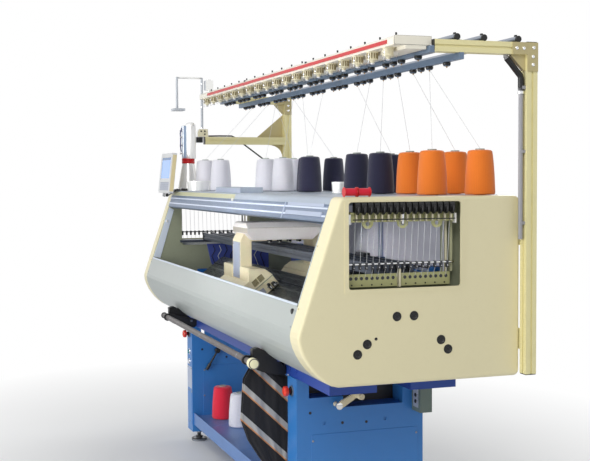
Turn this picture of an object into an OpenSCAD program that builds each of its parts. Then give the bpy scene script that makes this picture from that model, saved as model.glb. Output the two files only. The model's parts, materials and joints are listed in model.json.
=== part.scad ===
// Computerised flat knitting machine with a V bed, a sliding carriage, end
// covers with yarn windows and an overhead yarn stand.
// X runs along the machine, Y from the operator to the back, Z up.

/* [Body] */
// Length over the outer faces of the two end covers
body_len = 2800; // [2600:10:2960]
// Height of the table top above the floor
table_z = 1400; // [1380:5:1460]
// Height of the underside of the covers
skirt_z = 708; // [700:1:720]
// Needle gap to the nose of the front cover
nose_reach = 422; // [414:1:430]
// Needle gap to the top front corner
top_reach = 255; // [250:1:260]
// Needle gap to the back of the rear cover
rear_reach = 480; // [460:5:520]
// Height of the front cover's lip
lip_z = 1003; // [990:1:1015]
// Sheet thickness of the covers
skin = 3; // [2:0.5:4]
// Width of each end cover's slanted front strip
pillar_w = 90; // [70:5:110]
// Radius of the end covers' outer edge
edge_r = 12; // [8:1:14]

/* [Yarn windows] */
// Needle gap to the window's front edge
win_front = 227; // [215:1:232]
// Width of the window
win_w = 455; // [430:5:480]
// Height of the window's sill
win_z = 1062; // [1040:1:1080]
// Height of the window
win_h = 326; // [300:2:330]
// Tension units in each window
unit_n = 16; // [8:2:16]
// Pitch of the tension units
unit_pitch = 25.4; // [20:0.2:26]

/* [Base] */
// Leg centre from the middle of the machine
leg_x = 885; // [800:5:950]
// Leg width along the machine
leg_w = 110; // [90:5:130]
// Needle gap to the leg's front face
leg_front = 268; // [264:1:290]
// Leg depth
leg_depth = 560; // [520:10:640]
// Height of the legs' tops, where the bed beams rest
beam_z = 660; // [640:5:670]
// Height of the levelling feet
foot_h = 60; // [40:5:90]
// Radius of a foot's pad
foot_r = 42; // [30:1:50]
// Height of the bottom tray's floor
tray_z = 150; // [120:5:200]

/* [Needle beds] */
// Slope of each bed from level
bed_angle = 38; // [35:1:40]
// Length of the beds
bed_len = 2300; // [2100:10:2320]
// Width of each bed along its slope
bed_w = 260; // [240:2:270]
// Thickness of each bed
bed_t = 32; // [26:1:36]
// Gap between the beds
bed_gap = 8; // [6:1:12]
// Height of the beds' upper edges
gap_z = 1011; // [1006:1:1018]
// Wall thickness of the bed beams
beam_wall = 12; // [8:1:16]
// Side of the square carriage guide bars
guide_bar = 24; // [18:1:28]

/* [Feeder rails] */
// Pitch of the four feeder rails
rail_pitch = 50; // [44:1:52]
// Width of a rail
rail_w = 12; // [8:1:14]
// Depth of a rail
rail_h = 40; // [30:1:44]
// Height of the rails' upper edges
rail_top = 1146; // [1140:1:1150]

/* [Carriage] */
// Place of the carriage along the machine
carriage_x = -101; // [-300:1:300]
// Length of the cam boxes along the machine
cam_len = 438; // [400:2:460]
// Width of the column between the cam covers
column_w = 138; // [110:2:160]
// Length of the bridge hood along the machine
hood_len = 255; // [220:5:280]
// Width of the bridge hood across the machine
hood_w = 392; // [380:2:430]
// Height of the hood
hood_h = 84; // [70:1:100]
// Height of the hood's underside
hood_z = 1172; // [1168:1:1190]

/* [Yarn stand] */
// Side of the slotted posts and beams
profile = 45; // [40:1:50]
// Height of the top beams' upper faces
stand_z = 1973; // [1900:5:2050]
// Gap from an end cover to its post
post_gap = 7.5; // [6:0.5:20]
// Needle gap to the front end of the top beams
beam_front = 93; // [80:1:110]
// Depth of the yarn unit bar
unit_bar_d = 153; // [140:1:160]
// Height of the yarn unit bar
unit_bar_h = 48; // [40:1:56]
// Yarn units on the bar
yarn_unit_n = 19; // [10:1:19]
// Pitch of the yarn units
yarn_unit_pitch = 148; // [120:1:150]

/* [Yarn] */
// Base radius of a yarn cone
cone_r = 60; // [50:1:64]
// Height of a yarn cone
cone_h = 182; // [150:1:200]
// Radius of a yarn
yarn_r = 0.8; // [0.6:0.1:1.5]

/* [Hidden] */
$fn = 32;

// Seating gap between neighbouring pieces
seat = 0.3;
// Ends of the body: outer face, edge of the rounded rim, inner side of the strip
x_out = body_len / 2;
x_rim = x_out - edge_r;
corner_r = 22;
x_in = x_out - pillar_w;
frame_t = 14;
x_frame = x_in - frame_t;

// Slanted front of the body, measured down from the top front corner
slant_z = skirt_z + 205;
slant_dy = nose_reach - 4 - top_reach;
slant_dz = table_z - slant_z;
slant_a = atan2(slant_dy, slant_dz);
table_lip = 29.4;
header_s = table_lip + seat;
header_w = 68;

// Posts of the yarn stand
x_post = x_out + post_gap;
x_post_out = x_post + profile;
post_y = rear_reach - 3.5;
post_back = post_y + profile;
plate_t = 4;

// Bed beams, which reach just behind the end of the front cover
nose_end = leg_front - 6;
beam_in = 70;
beam_out = nose_end - 0.7;
guide_z = bed_low_z() - 13;
guide_y0 = bed_low_y() + 17;
guide_y1 = guide_y0 + guide_bar;

// Drive belt
pulley_r = 38;
belt_t = 3;
belt_w = 20;
belt_y = guide_y1 + 14;
belt_z = guide_z + 22;
pulley_x = x_frame - 80;

// Start bar
bar_reach = nose_reach;
bar_z = 720;
bar_r = 13;
bar_len = 2 * (leg_x - leg_w / 2);
arm_x = 750;
cloth_front = bar_reach + 25;

// The origin is under the middle of the footprint
mid_y = (post_back - cloth_front) / 2;

// Points and outlines
function bez(a, b, c, d, n) =
    [for (i = [0:n]) let (t = i / n, u = 1 - t)
        u * u * u * a + 3 * u * u * t * b + 3 * u * t * t * c + t * t * t * d];
function arc(cx, cy, r, a0, a1, n) =
    [for (i = [0:n]) let (a = a0 + (a1 - a0) * i / n) [cx + r * cos(a), cy + r * sin(a)]];
function side_of(path, i) =
    let (a = path[max(i - 1, 0)], b = path[min(i + 1, len(path) - 1)], d = b - a)
    [-d[1], d[0]] / norm(d);
function thick(path, t) =
    concat(path, [for (i = [len(path) - 1:-1:0]) path[i] + t * side_of(path, i)]);
function inside(path, t) =
    let (n = len(path))
    [for (i = [0:n - 1])
        let (d = path[(i + 1) % n] - path[(i + n - 1) % n]) path[i] + t * [-d[1], d[0]] / norm(d)];
function round_rect(y0, y1, z0, z1, r, n) =
    concat(arc(y1 - r, z1 - r, r, 0, 90, n), arc(y0 + r, z1 - r, r, 90, 180, n),
        arc(y0 + r, z0 + r, r, 180, 270, n), arc(y1 - r, z0 + r, r, 270, 360, n));
function on_slant(s, t) =
    [-top_reach - s * sin(slant_a) + t * cos(slant_a),
     table_z - s * cos(slant_a) - t * sin(slant_a)];
function slant_at(z) = (table_z - z) / cos(slant_a);
function nose_curve(n) =
    bez([4 - nose_reach, slant_z], [-16 - nose_reach, slant_z - 54],
        [70 - nose_reach, skirt_z + 9], [-nose_end, skirt_z], n);
function top_corner() =
    arc(corner_r / tan(45 + slant_a / 2) - top_reach, table_z - corner_r, corner_r, 180 - slant_a, 90, 5);
function rev(path) = [for (i = [len(path) - 1:-1:0]) path[i]];
function cover_outline() =
    concat(rev(top_corner()), nose_curve(10),
        arc(rear_reach - corner_r, skirt_z + corner_r, corner_r, -90, 0, 4),
        arc(rear_reach - corner_r, table_z - corner_r, corner_r, 0, 90, 4));

// Points of a bed: s down the slope from the gap, t up from its surface
function on_bed(s, t) =
    [-bed_gap / 2 - s * cos(bed_angle) - t * sin(bed_angle),
     gap_z - s * sin(bed_angle) + t * cos(bed_angle)];
function bed_low_y() = bed_gap / 2 + bed_w * cos(bed_angle);
function bed_low_z() = gap_z - bed_w * sin(bed_angle);
function under_bed(y) =
    let (p = on_bed(0, -bed_t - seat)) p[1] + (-y - p[0]) * tan(bed_angle);

module bar(x0, x1, y0, y1, z0, z1) {
    translate([x0, y0, z0])
        cube([x1 - x0, y1 - y0, z1 - z0]);
}

module along_x(x0, x1) {
    translate([x0, 0, 0])
        rotate([90, 0, 90])
            linear_extrude(height = x1 - x0)
                children();
}

module along_y(y0, y1) {
    translate([0, y1, 0])
        rotate([90, 0, 0])
            linear_extrude(height = y1 - y0)
                children();
}

module x_rod(x0, x1, y, z, r) {
    translate([x0, y, z])
        rotate([0, 90, 0])
            cylinder(h = x1 - x0, r = r);
}

module y_rod(x, y0, y1, z, r) {
    translate([x, y0, z])
        rotate([-90, 0, 0])
            cylinder(h = y1 - y0, r = r);
}

module z_rod(x, y, z0, z1, r) {
    translate([x, y, z0])
        cylinder(h = z1 - z0, r = r);
}

module link(p, q, r) {
    v = q - p;
    translate(p)
        rotate([0, acos(v[2] / norm(v)), atan2(v[1], v[0])])
            cylinder(h = norm(v), r = r);
}

module both_ends() {
    children();
    mirror([1, 0, 0])
        children();
}

module both_sides() {
    children();
    mirror([0, 1, 0])
        children();
}

module placed() {
    translate([0, -mid_y, 0])
        children();
}

// Base
leg_in = leg_x - leg_w / 2;
leg_out = leg_x + leg_w / 2;
leg_back = leg_depth - leg_front;
pillar_d = 53;
step_high = 80;
step_low = 126;
estop_z = beam_z - 55;
button_r = 9;

module leg() {
    difference() {
        union() {
            along_x(leg_in, leg_out)
                polygon([[-leg_front, foot_h], [leg_back, foot_h], [leg_back, beam_z],
                    [leg_back - 92, beam_z], [leg_back - 92, beam_z - step_low],
                    [-67, beam_z - step_low], [-67, beam_z - step_high],
                    [pillar_d - leg_front, beam_z - step_high], [pillar_d - leg_front, beam_z],
                    [-leg_front, beam_z]]);
            y_rod(leg_x, -leg_front - 4, -leg_front + 1, estop_z, 17);
        }
        y_rod(leg_x, -leg_front - 5, -leg_front + 30, estop_z, button_r + 0.4);
        for (y = [-150, 120])
            x_rod(leg_out - 4, leg_out + 1, y, beam_z - step_low - 60, 7);
    }
}

module button_bore(z) {
    y_rod(-leg_x, -leg_front - 1, -leg_front + 24, z, button_r + 0.4);
}

module legs() {
    color([0.24, 0.46, 0.6])
        placed()
            difference() {
                both_ends()
                    leg();
                button_bore(beam_z - 156);
                button_bore(beam_z - 212);
            }
}

module base_tray() {
    color([0.62, 0.66, 0.7])
        placed() {
            bar(-leg_in, leg_in, 12 - leg_front, leg_back - 12, tray_z - 5, tray_z);
            bar(-leg_in, leg_in, 8 - leg_front, 12 - leg_front, tray_z - 50, tray_z + 14);
            bar(-leg_in, leg_in, leg_back - 12, leg_back - 8, tray_z - 50, tray_z + 14);
        }
}

module leveling_feet() {
    color([0.2, 0.2, 0.21])
        placed()
            both_ends()
                for (y = [50 - leg_front, leg_back - 50]) {
                    z_rod(leg_x, y, 0, 14, foot_r);
                    z_rod(leg_x, y, 14, 26, 20, $fn = 6);
                    z_rod(leg_x, y, 26, foot_h, 10);
                }
}

// Bed beams
shelf_z = guide_z - guide_bar;
shelf_y = (under_bed(0) - shelf_z) / tan(bed_angle);
rib_z = beam_z + 100;

module main_beam() {
    color([0.1, 0.34, 0.52])
        placed() {
            both_sides()
                along_x(-x_frame, x_frame)
                    polygon([[-beam_out, beam_z], [-beam_in, beam_z], [-beam_in, under_bed(beam_in)],
                        [-shelf_y, shelf_z], [-beam_out, shelf_z]]);
            for (x = [-roller_x, -leg_x, 0, leg_x, roller_x])
                bar(x - beam_wall / 2, x + beam_wall / 2, -beam_in, beam_in, beam_z, rib_z);
        }
}

module end_frame() {
    difference() {
        along_x(x_frame, x_in)
            polygon(inside(cover_outline(), skin + seat));
        along_x(x_frame - 1, x_in + 1)
            polygon(round_rect(18 - win_front, win_w - win_front - 18, win_z + 14, win_z + win_h - 14, 20, 4));
    }
    for (p = [[-310, 985], [-300, 785], [rear_reach - 80, 785], [rear_reach - 80, 1340]])
        x_rod(x_in, x_out - skin, p[0], p[1], 9, $fn = 16);
}

module end_frames() {
    color([0.52, 0.56, 0.5])
        placed()
            both_ends()
                end_frame();
}

// Needle beds
module needle_bed() {
    along_x(-bed_len / 2, bed_len / 2)
        polygon([[-bed_gap / 2, gap_z], on_bed(0.62 * bed_w, 0), on_bed(0.62 * bed_w, 2.4),
            on_bed(0.7 * bed_w, 2.4), on_bed(0.7 * bed_w, 0), on_bed(bed_w, 0),
            on_bed(bed_w, -bed_t), [-bed_gap / 2, under_bed(bed_gap / 2) + seat]]);
}

module front_needle_bed() {
    color([0.55, 0.57, 0.6])
        placed()
            needle_bed();
}

module rear_needle_bed() {
    color([0.55, 0.57, 0.6])
        placed()
            mirror([0, 1, 0])
                needle_bed();
}

module carriage_rails() {
    color([0.62, 0.64, 0.66])
        placed()
            both_sides()
                along_x(-x_frame, x_frame)
                    polygon([[-guide_y1, shelf_z], [-guide_y0, shelf_z], [-guide_y0, guide_z - 2],
                        [-guide_y0 - 2, guide_z], [-guide_y1 + 2, guide_z], [-guide_y1, guide_z - 2]]);
}

// Feeder rails and feeders
rail_ys = [-1.5 * rail_pitch, -0.5 * rail_pitch, 0.5 * rail_pitch, 1.5 * rail_pitch];
rail_mid = rail_top - rail_h / 2;

module feeder_rails() {
    color([0.36, 0.39, 0.44])
        placed() {
            for (y = rail_ys)
                along_x(-x_frame, x_frame)
                    polygon([[y - rail_w / 2, rail_top - rail_h], [y + rail_w / 2, rail_top - rail_h],
                        [y + rail_w / 2, rail_mid - 5], [y + rail_w / 2 - 2, rail_mid - 3],
                        [y + rail_w / 2 - 2, rail_mid + 3], [y + rail_w / 2, rail_mid + 5],
                        [y + rail_w / 2, rail_top], [y - rail_w / 2, rail_top],
                        [y - rail_w / 2, rail_mid + 5], [y - rail_w / 2 + 2, rail_mid + 3],
                        [y - rail_w / 2 + 2, rail_mid - 3], [y - rail_w / 2, rail_mid - 5]]);
            both_ends()
                bar(x_frame - 26, x_frame, 4 - win_front, win_w - win_front - 4,
                    rail_top - rail_h - 12, rail_top - rail_h);
        }
}

tip_z = gap_z + 5;
saddle_w = rail_w / 2 + 9;

module feeder(x, y, tip_y) {
    difference() {
        bar(x - 42, x + 42, y - saddle_w, y + saddle_w, rail_top - rail_h + 4, rail_top + 10);
        bar(x - 43, x + 43, y - rail_w / 2 - 0.5, y + rail_w / 2 + 0.5,
            rail_top - rail_h, rail_top + 0.5);
    }
    side = y < 0 ? -1 : 1;
    bar(x - 12, x + 12, y + side * (saddle_w - 2) - 2, y + side * (saddle_w - 2) + 2,
        rail_top - rail_h - 14, rail_top - rail_h + 6);
    link([x, y + side * (saddle_w - 2), rail_top - rail_h - 12], [x, tip_y, gap_z + 32], 1.4, $fn = 8);
    z_rod(x, tip_y, tip_z, gap_z + 33, 1.4, $fn = 8);
}

module feeder_1() {
    color([0.85, 0.86, 0.87])
        placed()
            feeder(700, rail_ys[0], -6.3);
}

module feeder_2() {
    color([0.3, 0.31, 0.34])
        placed()
            feeder(-640, rail_ys[1], -2.1);
}

module feeder_3() {
    color([0.85, 0.86, 0.87])
        placed()
            feeder(620, rail_ys[2], 2.1);
}

module feeder_4() {
    color([0.3, 0.31, 0.34])
        placed()
            feeder(812, rail_ys[3], 6.3);
}

// Carriage
cam_0 = carriage_x - cam_len / 2;
cam_1 = carriage_x + cam_len / 2;
col_0 = carriage_x - column_w / 2;
col_1 = carriage_x + column_w / 2;
col_front = 215;
col_back = 159;
seam_t = 60;
box_front = 220;
box_z = 1043;
deck_z = 980;
seam_s = 75;

module carriage_bridge() {
    color([0.9, 0.86, 0.74])
        placed() {
            both_sides()
                along_x(col_0, col_1)
                    polygon([[-col_front, deck_z], [-col_back, deck_z], [-col_back, hood_z - seat],
                        [28 - hood_w / 2, hood_z - seat], [-seat - hood_w / 2, hood_z + 30],
                        [-col_front, hood_z - 6]]);
            bar(col_0, col_1, -col_back, col_back, hood_z - 8, hood_z - seat);
        }
}

// Hood: the upper sides slope inwards and the top falls towards the back
hood_slope_h = 24;
hood_slope_w = 34;
hood_fall = 70;

module carriage_hood() {
    top_z = hood_z + hood_h;
    y1 = hood_w / 2;
    x1 = hood_len / 2;
    over = 1.5;
    color([0.93, 0.92, 0.88])
        placed()
            translate([carriage_x, 0, 0])
                intersection() {
                    along_x(-x1, x1)
                        polygon(concat([[28 - y1, hood_z], [y1 - 58, hood_z], [y1, hood_z + 50],
                            [y1, hood_z + 66], [y1 - hood_fall, top_z]],
                            arc(12 - y1, top_z - 12, 12, 90, 180, 4), [[-y1, hood_z + 31]]));
                    along_y(-y1 - 10, y1 + 10)
                        polygon([[-x1, hood_z - 10], [x1, hood_z - 10], [x1, top_z - hood_slope_h],
                            [x1 - over * hood_slope_w, top_z + (over - 1) * hood_slope_h],
                            [over * hood_slope_w - x1, top_z + (over - 1) * hood_slope_h],
                            [-x1, top_z - hood_slope_h]]);
                }
}

module cam_box_block(x0, x1) {
    along_x(x0, x1)
        polygon([[-box_front, deck_z - 1], [-box_front, box_z - 4], [-box_front + 4, box_z],
            [-139, box_z - 4], on_bed(seam_s, seam_t), on_bed(130, seam_t)]);
}

module cam_box() {
    difference() {
        union() {
            along_x(cam_0, cam_1)
                polygon([[-guide_y1 - 10, guide_z + seat], [-guide_y0, guide_z + seat],
                    on_bed(bed_w + 14, 20), on_bed(bed_w - 4, seam_t), on_bed(seam_s + 40, seam_t),
                    [2 - col_back, deck_z - seat], [-box_front, deck_z - seat], [-guide_y1 - 10, 950]]);
            cam_box_block(cam_0, col_0 - 1);
            cam_box_block(col_1 + 1, cam_1);
            along_x(col_0 - 2, col_1 + 2)
                polygon([[-col_back + 1, box_z - 20], [-col_back + 1, box_z - 2], [-139, box_z - 4],
                    on_bed(seam_s, seam_t), on_bed(seam_s + 30, seam_t)]);
        }
        for (s = [132, 166])
            translate([0, on_bed(s, 84)[0], on_bed(s, 84)[1]])
                rotate([bed_angle, 0, 0])
                    both_ends_of_carriage()
                        bar(-1, 3, -14, 14, -14, 14);
    }
}

module both_ends_of_carriage() {
    translate([cam_1 - 2, 0, 0])
        children();
    translate([cam_0, 0, 0])
        children();
}

module cam_boxes() {
    color([0.91, 0.88, 0.78])
        placed() {
            both_sides()
                cam_box();
            bar(carriage_x - 40, carriage_x + 40, guide_y1 + 9, belt_y + belt_w, belt_top + seat, belt_top + 14);
        }
}

module cam_cover() {
    along_x(cam_0 + 4, cam_1 - 4)
        polygon([on_bed(seam_s + 2, 5), on_bed(bed_w - 8, 5), on_bed(bed_w - 8, seam_t - 3),
            on_bed(seam_s + 2, seam_t - 3)]);
    along_x(cam_0 + 12, cam_1 - 12)
        polygon([on_bed(seam_s + 44, seam_t - 4), on_bed(bed_w - 16, seam_t - 4),
            on_bed(bed_w - 16, seam_t), on_bed(seam_s + 44, seam_t)]);
}

module cam_covers() {
    color([0.84, 0.82, 0.74])
        placed()
            both_sides()
                cam_cover();
}

// Take-down
roller_x = 1154;
roller_r = 23;
roller_z = rib_z + 60;

module takedown_cylinder(y) {
    x_rod(-roller_x + 14, roller_x - 14, y, roller_z, roller_r);
    x_rod(-roller_x - 6, roller_x + 6, y, roller_z, 9, $fn = 24);
}

module takedown_roller() {
    color([0.16, 0.17, 0.18])
        placed()
            takedown_cylinder(-roller_r - 0.5);
}

module pressure_roller() {
    color([0.2, 0.2, 0.22])
        placed()
            takedown_cylinder(roller_r + 0.5);
}

module takedown_brackets() {
    color([0.5, 0.52, 0.55])
        placed()
            both_ends()
                difference() {
                    bar(roller_x - 6, roller_x + 6, -beam_in + 8, beam_in - 8, rib_z, roller_z + 24);
                    for (y = [-roller_r - 0.5, roller_r + 0.5])
                        x_rod(roller_x - 7, roller_x + 7, y, roller_z, 9.4, $fn = 24);
                }
}

// Carriage drive
belt_top = belt_z + pulley_r + belt_t;
motor_z = belt_z - 50;
gear_y0 = belt_y + belt_w + 12;
gear_y1 = gear_y0 + 54;
motor_r = 44;
motor_back = gear_y1 + 90;
shelf_t = 8;
switch_box = [80, 54, 121];

module drive_motor() {
    color([0.35, 0.4, 0.38])
        placed() {
            bar(pulley_x - 60, pulley_x + 60, beam_out, motor_back, motor_z - shelf_t, motor_z);
            bar(pulley_x - 48, pulley_x + 48, gear_y0, gear_y1, motor_z, belt_z + 48);
            y_rod(pulley_x, gear_y1, motor_back, belt_z, motor_r);
            bar(-pulley_x - 40, -pulley_x + 40, beam_out, gear_y1, motor_z - shelf_t, motor_z);
            bar(-pulley_x - 26, -pulley_x + 26, gear_y0, gear_y1, motor_z, belt_z + 30);
            translate([leg_out, leg_back - 50, beam_z - 158])
                cube(switch_box);
        }
}

module pulley(x) {
    y_rod(x, belt_y, belt_y + belt_w, belt_z, pulley_r - seat);
    y_rod(x, belt_y + belt_w, belt_y + belt_w + 12 - seat, belt_z, 11, $fn = 24);
}

module drive_pulley() {
    color([0.66, 0.67, 0.69])
        placed()
            pulley(pulley_x);
}

module idle_pulley() {
    color([0.66, 0.67, 0.69])
        placed()
            pulley(-pulley_x);
}

function belt_loop(r) =
    concat(arc(pulley_x, belt_z, r, 90, -90, 16), arc(-pulley_x, belt_z, r, 270, 90, 16));

module drive_belt() {
    color([0.1, 0.1, 0.1])
        placed()
            along_y(belt_y + 1, belt_y + belt_w - 1)
                difference() {
                    polygon(belt_loop(pulley_r + belt_t));
                    polygon(belt_loop(pulley_r));
                }
}

// Covers
vents = [[-34, 959, 12.5], [35, 959, 12.5], [-153, 862, 12.5], [-191, 826, 12.5],
    [146, 864, 12.5], [175, 827, 12.5], [-118, 880, 4]];
bead_w = 14;

module cover_layer(a) {
    x = x_out - edge_r + edge_r * sin(a);
    along_x(x - 0.2, x)
        polygon(inside(cover_outline(), edge_r * (1 - cos(a))));
}

module end_cover() {
    win_back = win_w - win_front;
    win_top = win_z + win_h;
    difference() {
        union() {
            hull() {
                along_x(x_in, x_rim)
                    polygon(cover_outline());
                for (a = [30, 60, 90])
                    cover_layer(a);
            }
            along_x(x_out - 1, x_out + 2.5)
                polygon(round_rect(-win_front - bead_w, win_back + bead_w, win_z - bead_w,
                    table_z - edge_r - 1, 10, 3));
        }
        along_x(x_in - 1, x_rim - skin)
            polygon(inside(cover_outline(), skin));
        along_x(x_in, x_out - skin)
            polygon(inside(cover_outline(), edge_r + 1));
        along_x(x_out - 20, x_out + 5)
            polygon(round_rect(-win_front, win_back, win_z, min(win_top, table_z - edge_r - 6), 12, 4));
        for (v = vents)
            x_rod(x_out - 5, x_out + 1, v[0], v[1], v[2], $fn = 20);
    }
}

module end_cover_left() {
    color([0.93, 0.9, 0.8])
        placed()
            mirror([1, 0, 0])
                end_cover();
}

module end_cover_right() {
    color([0.93, 0.9, 0.8])
        placed()
            end_cover();
}

module front_cover() {
    s = slant_at(lip_z);
    reach = x_in - seat;
    color([0.67, 0.68, 0.73])
        placed() {
            along_x(-reach, reach)
                polygon(thick(concat([on_slant(s + 3, 0)], nose_curve(10)), skin));
            along_x(1 - x_frame, x_frame - 1)
                polygon(thick([on_slant(s - 1, 5), on_slant(s, 2), on_slant(s + 3, 0), on_slant(s + 6, 0)], skin));
            along_x(1 - x_frame, x_frame - 1)
                polygon([on_slant(s - 1, 4), on_slant(s - 1, 26), on_slant(s + 12, 26),
                    on_slant(s + 12, 23), on_slant(s + 2, 23), on_slant(s + 2, 4)]);
        }
}

module rear_cover() {
    reach = x_in - seat;
    color([0.85, 0.84, 0.78])
        placed()
            along_x(-reach, reach)
                polygon(thick(concat([[300, skirt_z]],
                    arc(rear_reach - corner_r, skirt_z + corner_r, corner_r, -90, 0, 4),
                    [[rear_reach, table_z - 30]]), skin));
}

// Shallow tray on the table
shelf_x0 = -412;
shelf_x1 = 40;
shelf_y0 = 22 - top_reach;
shelf_y1 = shelf_y0 + 111;
shelf_h = 23;

module top_table() {
    reach = x_in - seat;
    color([0.6, 0.65, 0.7])
        placed() {
            along_x(-reach, reach)
                polygon(thick(concat([[rear_reach, table_z - 30 + seat]],
                    arc(rear_reach - corner_r, table_z - corner_r, corner_r, 0, 90, 4),
                    rev(top_corner()), [on_slant(table_lip, 0)]), skin));
            for (y = [-150, 300])
                bar(1 - x_frame, x_frame - 1, y, y + 30, table_z - 34, table_z - skin);
            difference() {
                bar(shelf_x0, shelf_x1, shelf_y0, shelf_y1, table_z, table_z + shelf_h + 4);
                bar(shelf_x0 + skin, shelf_x1 - skin, shelf_y0 + skin, shelf_y1 - skin,
                    table_z + shelf_h, table_z + shelf_h + 5);
            }
        }
}

module track(x0, x1) {
    s = header_s;
    along_x(x0, x1)
        polygon([on_slant(s, 0), on_slant(s, 3), on_slant(s + header_w, 3), on_slant(s + header_w, 0),
            on_slant(s + 50, 0), on_slant(s + 50, -1.5), on_slant(s + 42, -1.5), on_slant(s + 42, 0),
            on_slant(s + 20, 0), on_slant(s + 20, -1.5), on_slant(s + 12, -1.5), on_slant(s + 12, 0)]);
}

track_joint = 814;

module door_tracks() {
    s = header_s;
    color([0.5, 0.59, 0.72])
        placed() {
            track(seat - x_in, track_joint - 4);
            track(track_joint + 4, x_in - seat);
            along_x(track_joint - 4, track_joint + 4)
                polygon([on_slant(s, -2.5), on_slant(s, 3), on_slant(s + header_w, 3),
                    on_slant(s + header_w, -2.5)]);
            along_x(1 - x_frame, x_frame - 1)
                polygon([on_slant(s + header_w - 3, 3), on_slant(s + header_w - 3, 30),
                    on_slant(s + header_w, 30), on_slant(s + header_w, 3)]);
        }
}

// Yarn windows
unit_z = win_z + win_h - 45;
unit_span = (unit_n - 1) * unit_pitch;
rail_y = unit_span / 2 + 20;
plate_z = win_z + 4;

module tension_plate() {
    bar(x_in, x_out - 16, -rail_y, rail_y, unit_z - 6, unit_z);
    difference() {
        union() {
            bar(x_out - 28, x_out - 24, -rail_y, rail_y, unit_z - 36, unit_z - 6);
            for (y = [-140, 0, 140])
                x_rod(x_out - 28, x_out - 24, y, unit_z - 38, 22, $fn = 24);
        }
        for (y = [-140, 0, 140])
            x_rod(x_out - 30, x_out - 20, y, unit_z - 42, 8, $fn = 16);
    }
    for (y = [-rail_y, 8])
        difference() {
            bar(x_out - 60, x_out - 57, y, y + rail_y - 8, plate_z, plate_z + 48);
            for (i = [0:8])
                x_rod(x_out - 62, x_out - 50, y + 16 + i * (rail_y - 40) / 8, plate_z + 32, 6, $fn = 12);
        }
    bar(x_in, x_out - 60, -rail_y, rail_y, plate_z, plate_z + 4);
}

module tension_plates() {
    color([0.6, 0.64, 0.56])
        placed()
            both_ends()
                tension_plate();
}

module tension_unit(y) {
    along_y(y - 10, y + 10)
        polygon([[x_out - 22, unit_z], [x_out + 2, unit_z], [x_out + 7, unit_z + 6],
            [x_out + 7, unit_z + 28], [x_out + 1, unit_z + 38], [x_out - 22, unit_z + 38]]);
    bar(x_out - 16, x_out - 14, y - 4, y + 4, unit_z - 34, unit_z);
}

module tension_units() {
    color([0.08, 0.08, 0.09])
        placed()
            both_ends()
                for (i = [0:unit_n - 1])
                    tension_unit((i - (unit_n - 1) / 2) * unit_pitch);
}

clip_x = x_out - 40;
clip_z = win_z + 90;

module clip_rails() {
    color([0.75, 0.76, 0.78])
        placed()
            both_ends() {
                y_rod(clip_x, -rail_y - 8, rail_y + 8, clip_z, 4, $fn = 16);
                for (y = [-rail_y - 8, rail_y + 2])
                    bar(x_in, clip_x, y, y + 6, clip_z - 3, clip_z + 3);
                for (i = [0:unit_n - 1])
                    bar(clip_x - 5, clip_x + 5, (i - (unit_n - 1) / 2) * unit_pitch - 3,
                        (i - (unit_n - 1) / 2) * unit_pitch + 3, clip_z - 20, clip_z + 6);
            }
}

// Yarn stand
slot_w = 8;
slot_d = 5;
beam_z0 = stand_z - profile;
post_z0 = skirt_z + 12;
x_stand = x_post + profile / 2;
arm_z0 = beam_z0 - 249;
arm_front = beam_front - 125;

function notched(c) =
    let (h = profile / 2, a = slot_w / 2, b = h - slot_d)
    [for (q = [0:3])
        for (p = [[-a, -h], [-a, -b], [a, -b], [a, -h], [h, -h]])
            let (r = q * 90) [c[0] + p[0] * cos(r) - p[1] * sin(r), c[1] + p[0] * sin(r) + p[1] * cos(r)]];

module stand_posts() {
    color([0.8, 0.78, 0.68])
        placed()
            both_ends() {
                translate([0, 0, post_z0])
                    linear_extrude(height = stand_z - post_z0)
                        polygon(notched([x_stand, post_y + profile / 2]));
                for (z = [850, 1250]) {
                    bar(x_out - 70, x_post, rear_reach, rear_reach + 4, z - 40, z + 40);
                    bar(x_post - 4, x_post, rear_reach, post_back - 4, z - 40, z + 40);
                }
            }
}

module beam(x, y0, z0) {
    translate([0, post_y, 0])
        rotate([90, 0, 0])
            linear_extrude(height = post_y - y0)
                polygon(notched([x, z0 + profile / 2]));
}

module stand_beams() {
    color([0.8, 0.78, 0.68])
        placed() {
            both_ends()
                beam(x_stand, beam_front, beam_z0);
            beam(-x_stand, arm_front, arm_z0);
        }
}

plate_arm = 2.4 * profile;
gusset_w = 1.3 * profile;

module corner_plate(x) {
    along_x(x, x + plate_t)
        polygon([[post_back, stand_z - plate_arm], [post_back, stand_z], [post_back - plate_arm, stand_z],
            [post_back - plate_arm, beam_z0], [post_y, beam_z0], [post_y, stand_z - plate_arm]]);
}

module corner_plates() {
    color([0.9, 0.87, 0.74])
        placed() {
            both_ends() {
                corner_plate(x_post_out);
                corner_plate(x_post - plate_t);
                along_x(x_stand - 10, x_stand + 10)
                    polygon([[post_y, beam_z0], [post_y - gusset_w, beam_z0], [post_y - gusset_w, beam_z0 - 6],
                        [post_y - 6, beam_z0 - gusset_w], [post_y, beam_z0 - gusset_w]]);
            }
            along_x(plate_t - x_post_out - 2 * plate_t, -x_post_out)
                polygon(concat([[post_back, arm_z0 - 84], [post_back, arm_z0 + profile + 140],
                    [post_y, arm_z0 + profile + 140], [post_y - 168, arm_z0 + profile],
                    [post_y - 168, arm_z0], [post_y - 100, arm_z0]],
                    bez([post_y - 100, arm_z0], [post_y - 40, arm_z0], [post_y, arm_z0 - 30],
                        [post_y, arm_z0 - 84], 6)));
        }
}

// Eyelets: one at each yarn unit, and one more halfway after every second unit
eyelet_0 = -(yarn_unit_n - 1) / 2 * yarn_unit_pitch;
eyelet_r = 13;
eyelet_h = 14;
rail_b_y = 203;

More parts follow.
